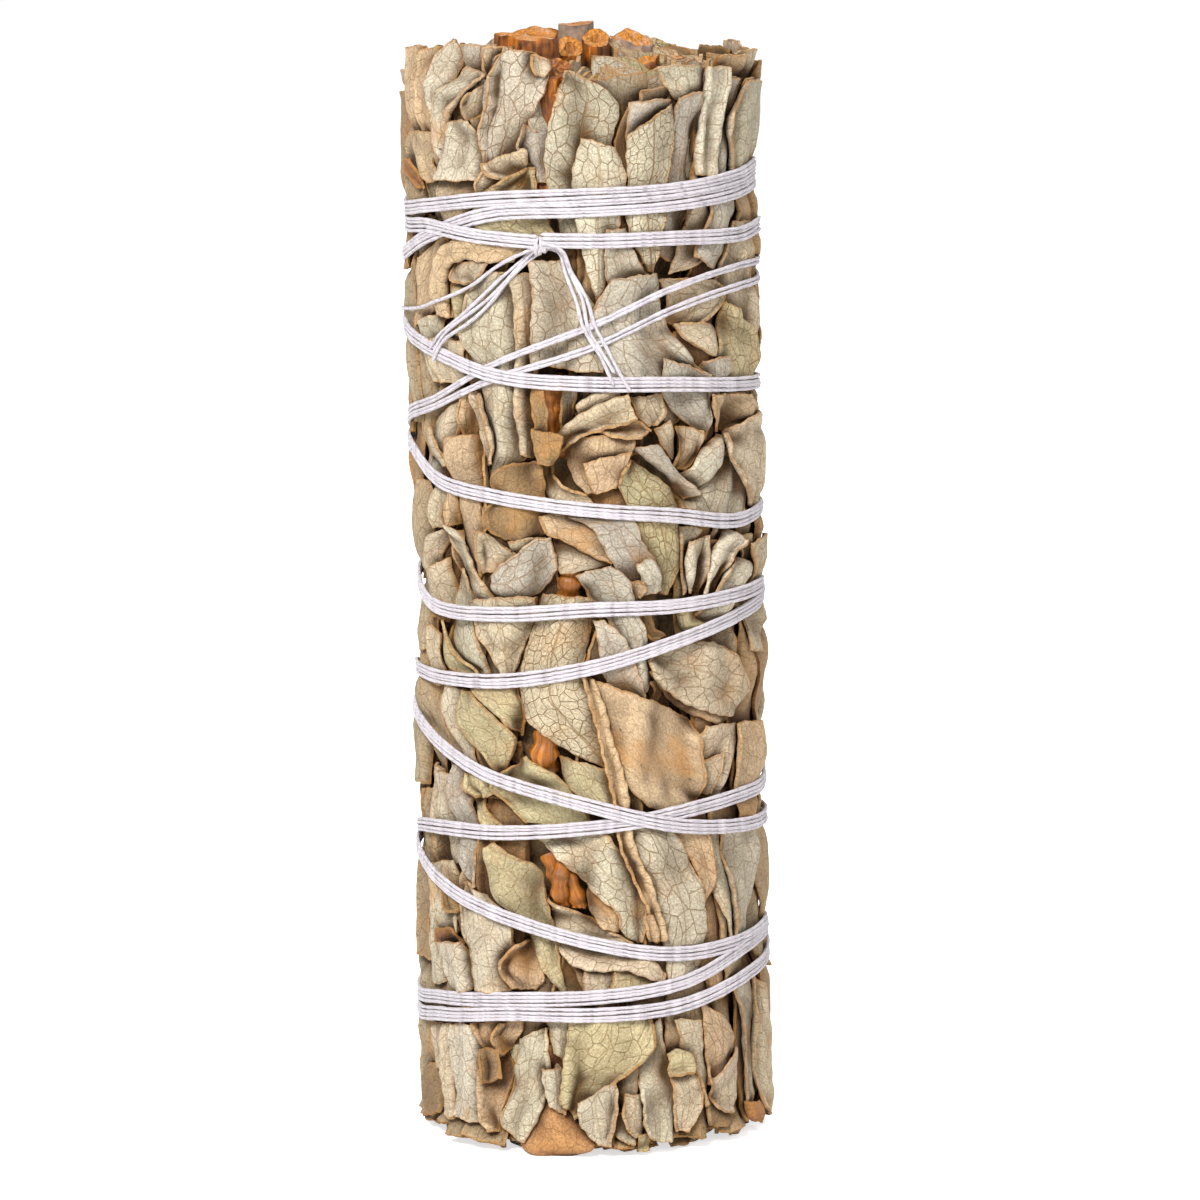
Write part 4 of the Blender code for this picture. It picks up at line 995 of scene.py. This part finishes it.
def squeezeLeaves(rule):
    # First the whole surface is brought to the bunch's radius, then pressed in under each pass
    # of thread, from where it swells again within a few millimetres.
    global outside
    broad = blurMap(outside, 2.6)
    inset = rule["foot"] * easeStep((rule["footHeight"] - rowHeight) / rule["footHeight"])[None, :]
    waist = easeStep((rowHeight - rule["footHeight"]) / rule["waistRise"]) \
        * easeStep((rule["waistTop"] - rowHeight) / rule["waistFall"])
    leaning = rule["waist"] - rule["lean"] * np.sin(columnArc / bunch["radius"])
    inset = inset + leaning[:, None] * waist[None, :]
    shift = broad - (bunch["radius"] - rule["skin"] - inset)
    outside = outside - shift
    high = swell(swell(outside))
    most = np.full_like(outside, 99.0)
    for k in range(int(threadShape["lastTurn"]) + 1):
        turn = k + 0.25 + columnArc / aroundMm
        level = threadHeight(np.clip(turn, threadShape["firstTurn"], threadShape["lastTurn"]))
        ground = readMap(high, columnArc, level) - threadShape["press"]
        seat = tautOver(np.concatenate([ground, ground, ground]), 200)[mapColumns:2 * mapColumns]
        seat = np.minimum(seat, threadShape["seat"])
        slope = np.gradient(level, columnArc)
        away = np.abs(rowHeight[None, :] - level[:, None]) / np.sqrt(1.0 + slope ** 2)[:, None]
        rise = rule["swell"] * (1.0 - np.exp(-np.maximum(away - rule["from"], 0.0) / rule["over"]))
        most = np.minimum(most, seat[:, None] + rise)
    pressed = rule["soften"] * np.logaddexp(0.0, (outside - most) / rule["soften"])
    pressed = blurMap(swell(swell(pressed)), 0.35)
    outside = outside - pressed
    return shift + pressed


sunk = squeezeLeaves(squeeze)
print("leaves squeezed")


# Meshes

def gridFaces(na, nb, base=0, flip=False):
    # Quads of a sheet of points, numbered along b first.
    i, j = np.meshgrid(np.arange(na - 1), np.arange(nb - 1), indexing="ij")
    k = (base + i * nb + j).ravel()
    quads = np.stack([k, k + nb, k + nb + 1, k + 1], axis=1)
    return quads[:, ::-1] if flip else quads


def tubeFaces(rings, sides):
    # Quads between rings of points that each close on themselves.
    i, j = np.meshgrid(np.arange(rings - 1), np.arange(sides), indexing="ij")
    k0, k1 = i * sides + j, i * sides + (j + 1) % sides
    return np.stack([k0, k1, k1 + sides, k0 + sides], axis=-1).reshape(-1, 4)


def unit(vectors):
    return vectors / np.maximum(np.linalg.norm(vectors, axis=-1, keepdims=True), 1e-9)


def roundPoint(s, z, r):
    # The point at arc s from the front, height z and radius r.
    angle = s / bunch["radius"]
    return np.stack([r * np.sin(angle), -r * np.cos(angle), z], axis=-1)


def thickSheet(p, thickness):
    # Two sheets, half the thickness to each side of the middle one, and a wall along the edge.
    na, nb = p.shape[:2]
    count = na * nb
    half = 0.5 * thickness * unit(np.cross(np.gradient(p, axis=0), np.gradient(p, axis=1)))
    points = np.concatenate([(p + half).reshape(-1, 3), (p - half).reshape(-1, 3)])
    index = np.arange(count).reshape(na, nb)
    ring = np.concatenate([index[:, 0], index[-1, 1:], index[-2::-1, -1], index[0, -2:0:-1]])
    after = np.roll(ring, -1)
    wall = np.stack([after, ring, ring + count, after + count], axis=1)
    return points, np.concatenate([gridFaces(na, nb), gridFaces(na, nb, count, True), wall])


def newPiece(name, points, faces, material, uvName, uv, colours=None, floats=None):
    # One mesh object at the origin, from points in millimetres.
    mesh = bpy.data.meshes.new(name)
    width = faces.shape[1]
    mesh.vertices.add(len(points))
    mesh.vertices.foreach_set("co", (np.asarray(points) * mm).ravel().astype(np.float32))
    mesh.loops.add(faces.size)
    mesh.loops.foreach_set("vertex_index", faces.ravel().astype(np.int32))
    mesh.polygons.add(len(faces))
    mesh.polygons.foreach_set("loop_start", (np.arange(len(faces)) * width).astype(np.int32))
    mesh.polygons.foreach_set("loop_total", np.full(len(faces), width, np.int32))
    mesh.update()
    layer = mesh.uv_layers.new(name=uvName)
    layer.data.foreach_set("uv", uv[faces.ravel()].ravel().astype(np.float32))
    for kind, field, paints in (("FLOAT_COLOR", "color", colours), ("FLOAT", "value", floats)):
        for key, values in (paints or {}).items():
            layer = mesh.attributes.new(key, kind, "POINT")
            layer.data.foreach_set(field, values.ravel().astype(np.float32))
    mesh.polygons.foreach_set("use_smooth", np.full(len(faces), True))
    mesh.validate()
    mesh.set_sharp_from_angle(angle=math.radians(55.0))
    mesh.materials.append(material)
    piece = bpy.data.objects.new(name, mesh)
    bpy.context.scene.collection.objects.link(piece)
    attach(piece, "root")
    return piece


def joinParts(parts):
    # One mesh of many. Each part is its points, its faces and what goes with its points.
    starts = np.cumsum([0] + [len(part[0]) for part in parts])
    faces = np.concatenate([part[1] + start for part, start in zip(parts, starts)])
    points, *others = (np.concatenate(rows) for rows in zip(*((p[0], *p[2:]) for p in parts)))
    return points, faces, *others


def joinSheets(sheets):
    # One mesh of many thick sheets, with the same paint on both sides.
    parts = []
    for sheet in sheets:
        points, faces = thickSheet(sheet["points"], sheet["thickness"])
        half = len(points) // 2
        rib = np.clip(sheet.get("middle", np.ones(half)).ravel(), 0.0, 1.0)
        paint = np.broadcast_to(sheet["tint"], sheet["points"].shape).reshape(-1, 3)
        tint = np.concatenate([paint, rib[:, None]], axis=1)
        edge = np.clip(sheet["edge"].ravel() / 3.0, 0.0, 1.0)
        wear = np.stack([edge, *(np.full(half, sheet[key]) for key in ("net", "age", "scale"))],
                        axis=1)
        parts.append((points, faces, *(np.tile(side, (2, 1))
                                       for side in (sheet["uv"].reshape(-1, 2), tint, wear))))
    points, faces, uv, tint, wear = joinParts(parts)
    return points, faces, uv, {"tint": tint, "wear": wear}


nodesOfLeaves = sorted(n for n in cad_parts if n.startswith("leaf_"))


def sprigOfNode(node):
    low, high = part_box(node)
    middle = 0.5 * (np.array(low) + np.array(high))
    return sprigOf(math.degrees(math.atan2(middle[0], -middle[1])))


# Painted shade: crevices are painted darker and browner by how far a point lies under the leaves
# around it.
crest = blurMap(swell(swell(outside)), 0.8)
paintedCreviceShade = {"from": 0.10, "to": 1.0, "shade": (0.17, 0.108, 0.058)}
rounding = 0.12         # over which a leaf turns to stay under the bunch's most

for group in sorted(leafParts):
    for part in leafParts[group]:
        level = part["r"] - readMap(sunk, part["s"], part["z"])
        depth = readMap(crest, part["s"], part["z"]) - level
        depth = easeStep((depth - paintedCreviceShade["from"]) / (paintedCreviceShade["to"] - paintedCreviceShade["from"]))[..., None]
        # The tint takes the painted shade of its crevice.
        part["tint"] = part["tint"] * (1.0 - depth * (1.0 - np.array(paintedCreviceShade["shade"])))
        spare = (bunch["most"] - level) / rounding
        part["r"] = bunch["most"] - rounding * np.logaddexp(0.0, spare)
        part["points"] = roundPoint(part["s"], part["z"], part["r"])
    points, faces, uv, colours = joinSheets(leafParts[group])
    piece = newPiece(group, points, faces, leafMaterial, "leafMm", uv, colours)
    number = group[-1]
    mine = [node for node in nodesOfLeaves if sprigOfNode(node) == group]
    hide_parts(f"sprig_{number}_leaves", *mine)
    print(group, "faces", len(faces))


# Packed middle: brown crumpled leaf seen only in the gaps, and closed at both ends

middleShape = {"radius": 12.3, "low": 3.0, "high": 92.5, "columns": 180, "rows": 60}


def makeCore(rule):
    # A tube with a few waves round it, closed by rings that shrink to a point.
    columns = rule["columns"]
    angle = np.linspace(0.0, 2.0 * math.pi, columns, endpoint=False)[None, :]
    z = np.linspace(rule["low"], rule["high"], rule["rows"])[:, None]
    r = rule["radius"] + 0.35 * np.sin(23.0 * angle + 0.2 * z) \
        + 0.2 * np.sin(41.0 * angle - 0.13 * z)
    point = np.full((1, columns), 0.01)
    r = np.concatenate([point, r[:1] * 0.96, r, r[-1:] * 0.96, point])
    z = np.concatenate([z[:1], z[:1], z, z[-1:], z[-1:]]) + 0.0 * angle
    p = np.stack([r * np.sin(angle), -r * np.cos(angle), z], axis=-1).reshape(-1, 3)
    uv = np.stack([angle * 12.0 + 0.0 * z, z], axis=-1).reshape(-1, 2)
    # The brown is painted at half its brightness: painted shade, as the middle lies deep in the
    # gaps.
    tint = np.tile(np.append(toLinear(tints["brown"]) * 0.5, 1.0), (len(p), 1))
    wear = np.tile([1.0, 0.4, 1.0, 1.0], (len(p), 1))
    return newPiece("packedMiddle", p, tubeFaces(len(r), columns), leafMaterial, "leafMm", uv,
                    {"tint": tint, "wear": wear})


core = makeCore(middleShape)
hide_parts("sprig_7_leaves")


# Ends of the bunch: leaf blades that stand round the stems, seen from above and from below

stems = {       # foot and top (x, y), top height, diameter and hollow pith, as in the part
    "stem_1": ((-2.8, -8.3), (-4.6, -7.4), 101.1, 5.5, 0.0),
    "stem_2": ((4.6, -6.8), (5.4, -6.1), 98.4, 3.6, 0.0),
    "stem_3": ((8.6, 0.6), (8.4, 1.4), 98.2, 2.8, 0.0),
    "stem_4": ((4.2, 7.4), (4.9, 7.2), 99.5, 4.0, 0.0),
    "stem_5": ((-4.0, 7.6), (-4.4, 7.4), 99.6, 3.8, 0.0),
    "stem_6": ((-8.4, -0.4), (-8.6, 0.2), 98.8, 2.8, 0.8),
    "stem_7": ((-0.8, -2.4), (-0.7, -2.6), 99.5, 2.2, 1.25),
    "stem_8": ((1.9, 0.2), (1.6, 0.3), 100.1, 2.4, 1.1),
    "stem_9": ((-0.8, 2.7), (-0.2, 2.9), 101.3, 3.2, 0.0),
}
endSheets = {"spacing": 0.78, "thickness": 0.36, "outer": 14.3, "depth": 9.0, "rings": 14,
             "apart": 0.42, "shortest": 1.6}


def standSheets(rule, top):
    # In plan, each sheet follows a circle round its nearest stem, with small waves, and stops
    # where another stem is nearer. Its edge is cut off at the rim or at the foot.
    sheets = []
    centres = {name: (np.array(head if top else foot), 0.5 * thick)
               for name, (foot, head, height, thick, pith) in stems.items()}
    theta = np.linspace(0.0, 2.0 * math.pi, 181)
    for name, (centre, radius) in centres.items():
        for ring in range(rule["rings"]):
            rho = radius + 0.45 + rule["spacing"] * ring
            wavy = rho + 0.10 * np.sin(5.0 * theta + 3.0 * ring) \
                + 0.07 * np.sin(11.0 * theta + ring)
            x = centre[0] + wavy * np.cos(theta)
            y = centre[1] + wavy * np.sin(theta)
            inside = np.hypot(x, y) < rule["outer"]
            for other, (place, thick) in centres.items():
                if other != name:
                    gap = np.hypot(x - place[0], y - place[1]) - thick
                    inside &= gap >= wavy - radius + rule["apart"]
            start = draw.uniform(0.0, 6.28)
            inside &= np.abs(((theta - start) % (2.0 * math.pi)) - 0.25) > 0.22
            runs = np.flatnonzero(np.diff(np.concatenate([[0], inside.astype(int), [0]])))
            for first, last in zip(runs[::2], runs[1::2]):
                if (last - first) * (theta[1] - theta[0]) * rho < rule["shortest"]:
                    continue
                count = max(5, min(40, int((last - first) * rho * 0.035 / 0.3)))
                pick = np.unique(np.linspace(first, last - 1, count).astype(int))
                sheets.append((x[pick], y[pick], theta[pick]))
    return sheets


def makeEnd(name, rule, top):
    # Every sheet stands on its line in plan, between a wavy torn rim and the rule's depth.
    parts = []
    b = np.linspace(0.0, 1.0, 9)[None, :]
    for x, y, theta in standSheets(rule, top):
        rim = bunch["rimHeight"] - 0.075 * x[:, None] + 0.3 + 0.5 * np.sin(2.0 * theta)[:, None]
        rim = rim + draw.uniform(-1.3, 0.7) + 0.25 * np.sin(x * 2.1 + y * 1.7)[:, None]
        if top:
            z = rim - rule["depth"] * (1.0 - b)
        else:
            foot = draw.uniform(0.1, 1.4) + 0.3 * np.sin(3.0 * theta)[:, None]
            z = (rule["depth"] * b) + np.maximum(0.15, foot)
        lean = 0.06 * np.sin(1.5 * b * 3.0 + x[:, None]) * 2.0
        p = np.stack([x[:, None] + lean, y[:, None] + lean * 0.7, z], axis=-1)
        along = np.concatenate([[0.0], np.cumsum(np.hypot(np.diff(x), np.diff(y)))])
        edge = np.minimum(np.minimum(along, along[-1] - along)[:, None],
                          (1.0 - b if top else b) * rule["depth"]) + 0.0 * b
        uv = np.stack([along[:, None] + 0.0 * b, b * rule["depth"] + 0.0 * along[:, None]], axis=-1)
        uv = uv + draw.uniform(0.0, 200.0, 2)
        tint = toLinear(tints[str(draw.choice(["beige", "tan", "sage", "olive", "brown"]))])
        parts.append({"points": p, "thickness": rule["thickness"], "uv": uv,
                      "tint": tint * draw.uniform(0.75, 1.05), "edge": edge,
                      "net": 0.7, "age": 0.7, "scale": 1.0})
    points, faces, uv, colours = joinSheets(parts)
    piece = newPiece(name, points, faces, leafMaterial, "leafMm", uv, colours)
    print(name, "faces", len(faces))


makeEnd("upperEndLeaves", endSheets, True)
makeEnd("lowerEndLeaves", endSheets, False)


# Stems, with furrowed bark and a broken end

greyStems = ("stem_9", "stem_4")
stemSlants = {"stem_1": -0.02, "stem_7": 0.9, "stem_8": 0.55, "stem_9": 0.0}    # others 0.15
stemShape = {"sides": 40, "furrow": 0.035, "brokenTop": 0.45}
twigShape = {"ragged": 0.3, "lumps": 0.14, "tornLook": 0.2}


def rodMesh(path, radii, hollow, ragged, seedTurn, slant=0.0):
    # A circle carried along the path. Its radius has furrows that follow the stem, and the
    # last ring is raised and lowered, as torn wood is. The end is closed by smaller rings.
    sides = stemShape["sides"]
    turn = np.linspace(0.0, 2.0 * math.pi, sides, endpoint=False)
    tangent = unit(np.gradient(path, axis=0))
    helper = [0.0, -1.0, 0.0] if abs(tangent[0][1]) < 0.9 else [1.0, 0.0, 0.0]
    first = unit(np.cross(tangent, helper))
    second = np.cross(tangent, first)
    rib = 1.0 + stemShape["furrow"] * (np.sin(7.0 * turn + seedTurn)
                                       + 0.6 * np.sin(13.0 * turn + 2.0 * seedTurn))
    height = np.concatenate([[0.0], np.cumsum(np.linalg.norm(np.diff(path, axis=0), axis=1))])
    jag = ragged * (0.8 * np.sin(turn + seedTurn) + 0.5 * np.sin(2.0 * turn + seedTurn)
                    + 0.25 * np.sin(5.0 * turn + seedTurn) + 0.12 * np.sin(11.0 * turn))
    last = len(path) - 1
    # Each ring is its place on the path, its radius, whether it is torn wood, and its drop.
    steps = [(0, 0.004, 1.0, 0.0)] + [(k, radii[k], 0.0, 0.0) for k in range(last + 1)]
    for share in (0.93, 0.72, 0.5, max(0.26, hollow / max(radii[last], 1e-6) * 0.5)):
        steps.append((last, radii[last] * share, 1.0, -0.05))
    if hollow > 0.0:
        steps += [(last, hollow * 0.5, 0.0, -1.6), (last, 0.004, 0.0, -1.7)]
    else:
        steps.append((last, 0.004, 1.0, 0.0))
    rings, flags, ups = [], [], []
    for k, radius, cut, drop in steps:
        ring = path[k] + (first[k] * np.cos(turn)[:, None] + second[k] * np.sin(turn)[:, None]) * \
            (radius * rib)[:, None]
        # The top slants down to the front, and its torn face is rough.
        wild = jag * min(1.0, radius / radii[last]) + slant * (ring - path[k])[:, 1]
        wild = wild + ragged * cut * 0.5 * np.sin(3.0 * turn + 9.0 * radius + seedTurn)
        rings.append(ring + tangent[k] * (wild * (k == last) + drop)[:, None])
        flags.append(np.full(sides, cut))
        ups.append(np.full(sides, height[k] + (radii[last] - radius if cut else 0.0)))
    around = np.tile(turn * radii.max(), (len(rings), 1))
    uv = np.stack([around, np.stack(ups)], axis=-1).reshape(-1, 2)
    return np.concatenate(rings), tubeFaces(len(rings), sides), uv, np.concatenate(flags)


for number, (name, (foot, head, topHeight, thick, pith)) in enumerate(stems.items()):
    heights = np.concatenate([np.linspace(0.6, 90.0, 12), np.linspace(91.0, topHeight - 0.2, 14)])
    share = heights / topHeight
    path = np.stack([foot[0] + (head[0] - foot[0]) * share, foot[1] + (head[1] - foot[1]) * share,
                     heights], axis=-1)
    radii = 0.5 * thick * (1.0 + 0.02 * np.sin(heights * 0.9 + number))
    ragged = stemShape["brokenTop"] * (1.0 if thick > 3.5 else 0.3)
    points, faces, uv, flags = rodMesh(path, radii, pith, ragged, 1.7 * number,
                                       stemSlants.get(name, 0.15))
    piece = newPiece(name.replace("_", "") + "Wood", points, faces, stemMaterial, "stemMm", uv,
                     floats={"cutFace": flags, "weathered": 0.0 * flags + (name in greyStems)})
    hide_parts(name)

twigMeshes = []
for number, (s, z, r, thick) in enumerate(twigParts):
    path = roundPoint(s, z, r - readMap(sunk, s, z))
    # The upper two are whole, with ends under leaves. The rest are torn and lumpy crumbs.
    torn = 1.0 if number > 1 else 0.0
    along = np.linspace(0.0, 1.0, len(path))
    lumps = twigShape["lumps"] * torn * np.sin(22.0 * along + 1.9 * number)
    points, faces, uv, flags = rodMesh(path, 0.5 * thick * (1.0 + lumps), 0.0, twigShape["ragged"],
                                       2.3 * number)
    flags = torn * np.maximum(flags, twigShape["tornLook"])
    twigMeshes.append((points, faces, uv + 7.0 * number, flags))
points, faces, uv, flags = joinParts(twigMeshes)
twigs = newPiece("twigsInTheGaps", points, faces, stemMaterial, "stemMm", uv,
                 floats={"cutFace": flags, "weathered": 0.0 * flags})
print("stems made")


# Thread

def strandTubes(name, routes):
    # A circle carried along each route. Its ring keeps one axis along the bunch.
    sides, radius = threadShape["sides"], 0.5 * threadShape["strand"]
    turn = np.linspace(0.0, 2.0 * math.pi, sides, endpoint=False)
    parts = []
    for number, path in enumerate(routes):
        tangent = unit(np.gradient(path, axis=0))
        side = unit(np.cross(tangent, unit(path * np.array([1.0, 1.0, 0.0]))))
        out = np.cross(side, tangent)
        along = np.concatenate([[0.0], np.cumsum(np.linalg.norm(np.diff(path, axis=0), axis=1))])
        size = radius * (1.0 + 0.08 * np.sin(along * 2.1 + number))
        size[0] = size[-1] = 0.02
        ring = path[:, None, :] + size[:, None, None] * (
            out[:, None, :] * np.cos(turn)[None, :, None]
            + side[:, None, :] * np.sin(turn)[None, :, None])
        uv = np.stack([np.tile(turn * radius, (len(path), 1)),
                       np.tile(along[:, None], (1, sides))], axis=-1)
        parts.append((ring.reshape(-1, 3), tubeFaces(len(path), sides)[:, [0, 3, 2, 1]],
                      uv.reshape(-1, 2) + 31.0 * number))
    points, faces, uv = joinParts(parts)
    piece = newPiece(name, points, faces, threadMaterial, "threadMm", uv)
    print(name, "faces", len(faces))
    return piece


def windThread(rule):
    # The strands lie beside each other and slowly change places. Each is laid on the leaves.
    turn = np.arange(rule["firstTurn"], rule["lastTurn"], rule["step"] / aroundMm)
    s = (turn - 0.25) * aroundMm
    level = threadHeight(turn)
    # On the diagonal pass under the knot the strands part two and two.
    begin, end, width = rule["parting"]
    parting = width * easeStep((turn - begin) / 0.2) * easeStep((end - turn) / 0.2)
    heights, grounds = [], []
    for k in range(rule["strands"]):
        place = k - 0.5 * (rule["strands"] - 1)
        wander = 0.10 * np.sin(turn * 9.0 + 2.1 * k) + 0.07 * np.sin(turn * 23.0 + 1.3 * k)
        z = level + rule["strand"] * (place + wander) + (0.5 if place > 0.0 else -0.5) * parting
        heights.append(z)
        grounds.append(readMap(outside, s, z))
    taut = tautOver(np.max(grounds, axis=0) - 0.10, 300)
    taut = np.convolve(np.pad(taut, 4, mode="edge"), np.ones(9) / 9.0, mode="valid")
    radii = [taut + 0.5 * rule["strand"] + 0.05 * np.sin(turn * 17.0 + 1.9 * k)
             for k in range(rule["strands"])]
    return [(s, z, r) for z, r in zip(heights, radii)]


for k, (s, z, r) in enumerate(windThread(threadShape)):
    piece = strandTubes(f"threadStrand{k + 1}", [roundPoint(s, z, r)])
    if k == 0:
        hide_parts("thread")
    column, row = (np.round(place).astype(int) for place in mapPlace(s, z))
    np.maximum.at(outside, (column % mapColumns, row), r + 0.5 * threadShape["strand"])

# Loose ends from the knot, and the lone strand to the left: (angle, z) along each, and strands.
looseEnds = {
    "left end": (((-13.0, 82.8), (-23.0, 80.4), (-32.0, 78.0), (-41.0, 76.0), (-53.0, 73.9),
                  (-59.0, 71.9)), 3),
    "right end": (((-13.0, 82.8), (-7.0, 82.3), (-4.0, 80.4), (0.0, 78.0), (2.0, 75.7),
                   (7.0, 73.0), (11.0, 70.8), (14.0, 69.2)), 3),
    "lone strand": (((-13.0, 82.8), (-26.0, 81.1), (-38.0, 79.0), (-60.0, 77.0), (-85.0, 75.8),
                     (-110.0, 75.2)), 1),
}
looseShape = {"step": 0.25, "gap": 0.33, "splay": 0.3, "uneven": 10.0}


def layEnds(ends, rule):
    # A cubic through each end's points. The strands splay a little towards their cut ends, which
    # differ in length, and lie on what is under them.
    routes = []
    for points, count in ends.values():
        points = np.array(points) * (arcPerDegree, 1.0)
        along = np.concatenate([[0.0], np.cumsum(np.hypot(*np.diff(points, axis=0).T))])
        route = cubicAt(along, points, np.gradient(points, along, axis=0),
                        np.arange(0.0, along[-1], rule["step"]))
        ahead = unit(np.gradient(route, axis=0))
        share = np.linspace(0.0, 1.0, len(route))
        for k in range(count):
            cut = len(route) - int(draw.uniform(0.0, rule["uneven"]))
            off = (k - 0.5 * (count - 1)) * (rule["gap"] + rule["splay"] * share ** 2)
            off = off + 0.12 * np.sin(9.0 * share + 2.0 * k)
            s = (route[:, 0] + ahead[:, 1] * off)[:cut]
            z = (route[:, 1] - ahead[:, 0] * off)[:cut]
            ground = tautOver(readMap(outside, s, z) - 0.05, 80)
            routes.append(roundPoint(s, z, ground + 0.5 * threadShape["strand"] + 0.05))
    return routes


def tieKnot(angle, z):
    # Each strand of the knot winds round the bundle twice, as a short coil.
    s = angle * arcPerDegree
    r = float(readMap(outside, np.array([s]), np.array([z]))[0])
    w = np.linspace(0.0, 1.0, 60)
    bulge = np.sqrt(np.sin(math.pi * np.clip(w, 0.02, 0.98)))
    routes = []
    for k in range(3):
        wind = 2.0 * math.pi * (2.1 * w + 0.33 * k)
        routes.append(roundPoint(s + (w - 0.5) * 1.5 + 0.25 * np.sin(wind + k),
                                 z + (0.62 + 0.1 * k) * np.cos(wind) * bulge,
                                 r + 0.30 + 0.38 * np.sin(wind)))
    return routes


strandTubes("threadKnotAndEnds", layEnds(looseEnds, looseShape) + tieKnot(*threadShape["knot"]))
print("thread wound")


# Table, backdrop and light

studio = {"floor": "#FBFAF9", "glow": 0.66, "world": 0.30, "table": 4.0}
lights = {      # place, power and size
    "keyLight": ((-0.28, -0.62, 0.68), 12.5, 0.34),
    "fillLight": ((0.6, -0.45, 0.35), 2.0, 0.6),
    "backLight": ((0.35, 0.65, 0.6), 4.0, 0.6),
}


def makeStudio(rule):
    # White paper under the bunch, a white world and three lights that face the bunch.
    mesh = bpy.data.meshes.new("table")
    corners = ((-1.0, -1.0), (1.0, -1.0), (1.0, 1.0), (-1.0, 1.0))
    mesh.from_pydata([(x * rule["table"], y * rule["table"], 0.0) for x, y in corners],
                     [], [(0, 1, 2, 3)])
    table = bpy.data.objects.new("table", mesh)
    bpy.context.scene.collection.objects.link(table)
    material, tree, shader = newMaterial("whitePaper")
    # The glow is for the camera alone, so that the table throws no light up under the leaves.
    seen = addNode(tree, "LightPath")["Is Camera Ray"]
    glow = addNode(tree, "Math", {0: seen, 1: rule["glow"]}, operation="MULTIPLY")[0]
    setInputs(tree, shader, {"Base Color": toLinear(rule["floor"]), "Roughness": 0.9,
                             "Specular IOR Level": 0.1, "Emission Color": (1.0, 1.0, 1.0),
                             "Emission Strength": glow})
    mesh.materials.append(material)
    world = bpy.data.worlds.new("studio")
    bpy.context.scene.world = world
    world.use_nodes = True
    setInputs(world.node_tree, world.node_tree.nodes["Background"],
              {"Color": (1.0, 1.0, 1.0), "Strength": rule["world"]})
    for name, (place, power, size) in lights.items():
        light = bpy.data.lights.new(name, "AREA")
        light.energy, light.size = power, size
        lamp = bpy.data.objects.new(name, light)
        bpy.context.scene.collection.objects.link(lamp)
        lamp.location = place
        aim = np.array([0.0, 0.0, 0.05]) - np.array(place)
        lamp.rotation_euler = Vector(aim).to_track_quat("-Z", "Y").to_euler()


makeStudio(studio)
bpy.context.scene.view_settings.view_transform = "Standard"
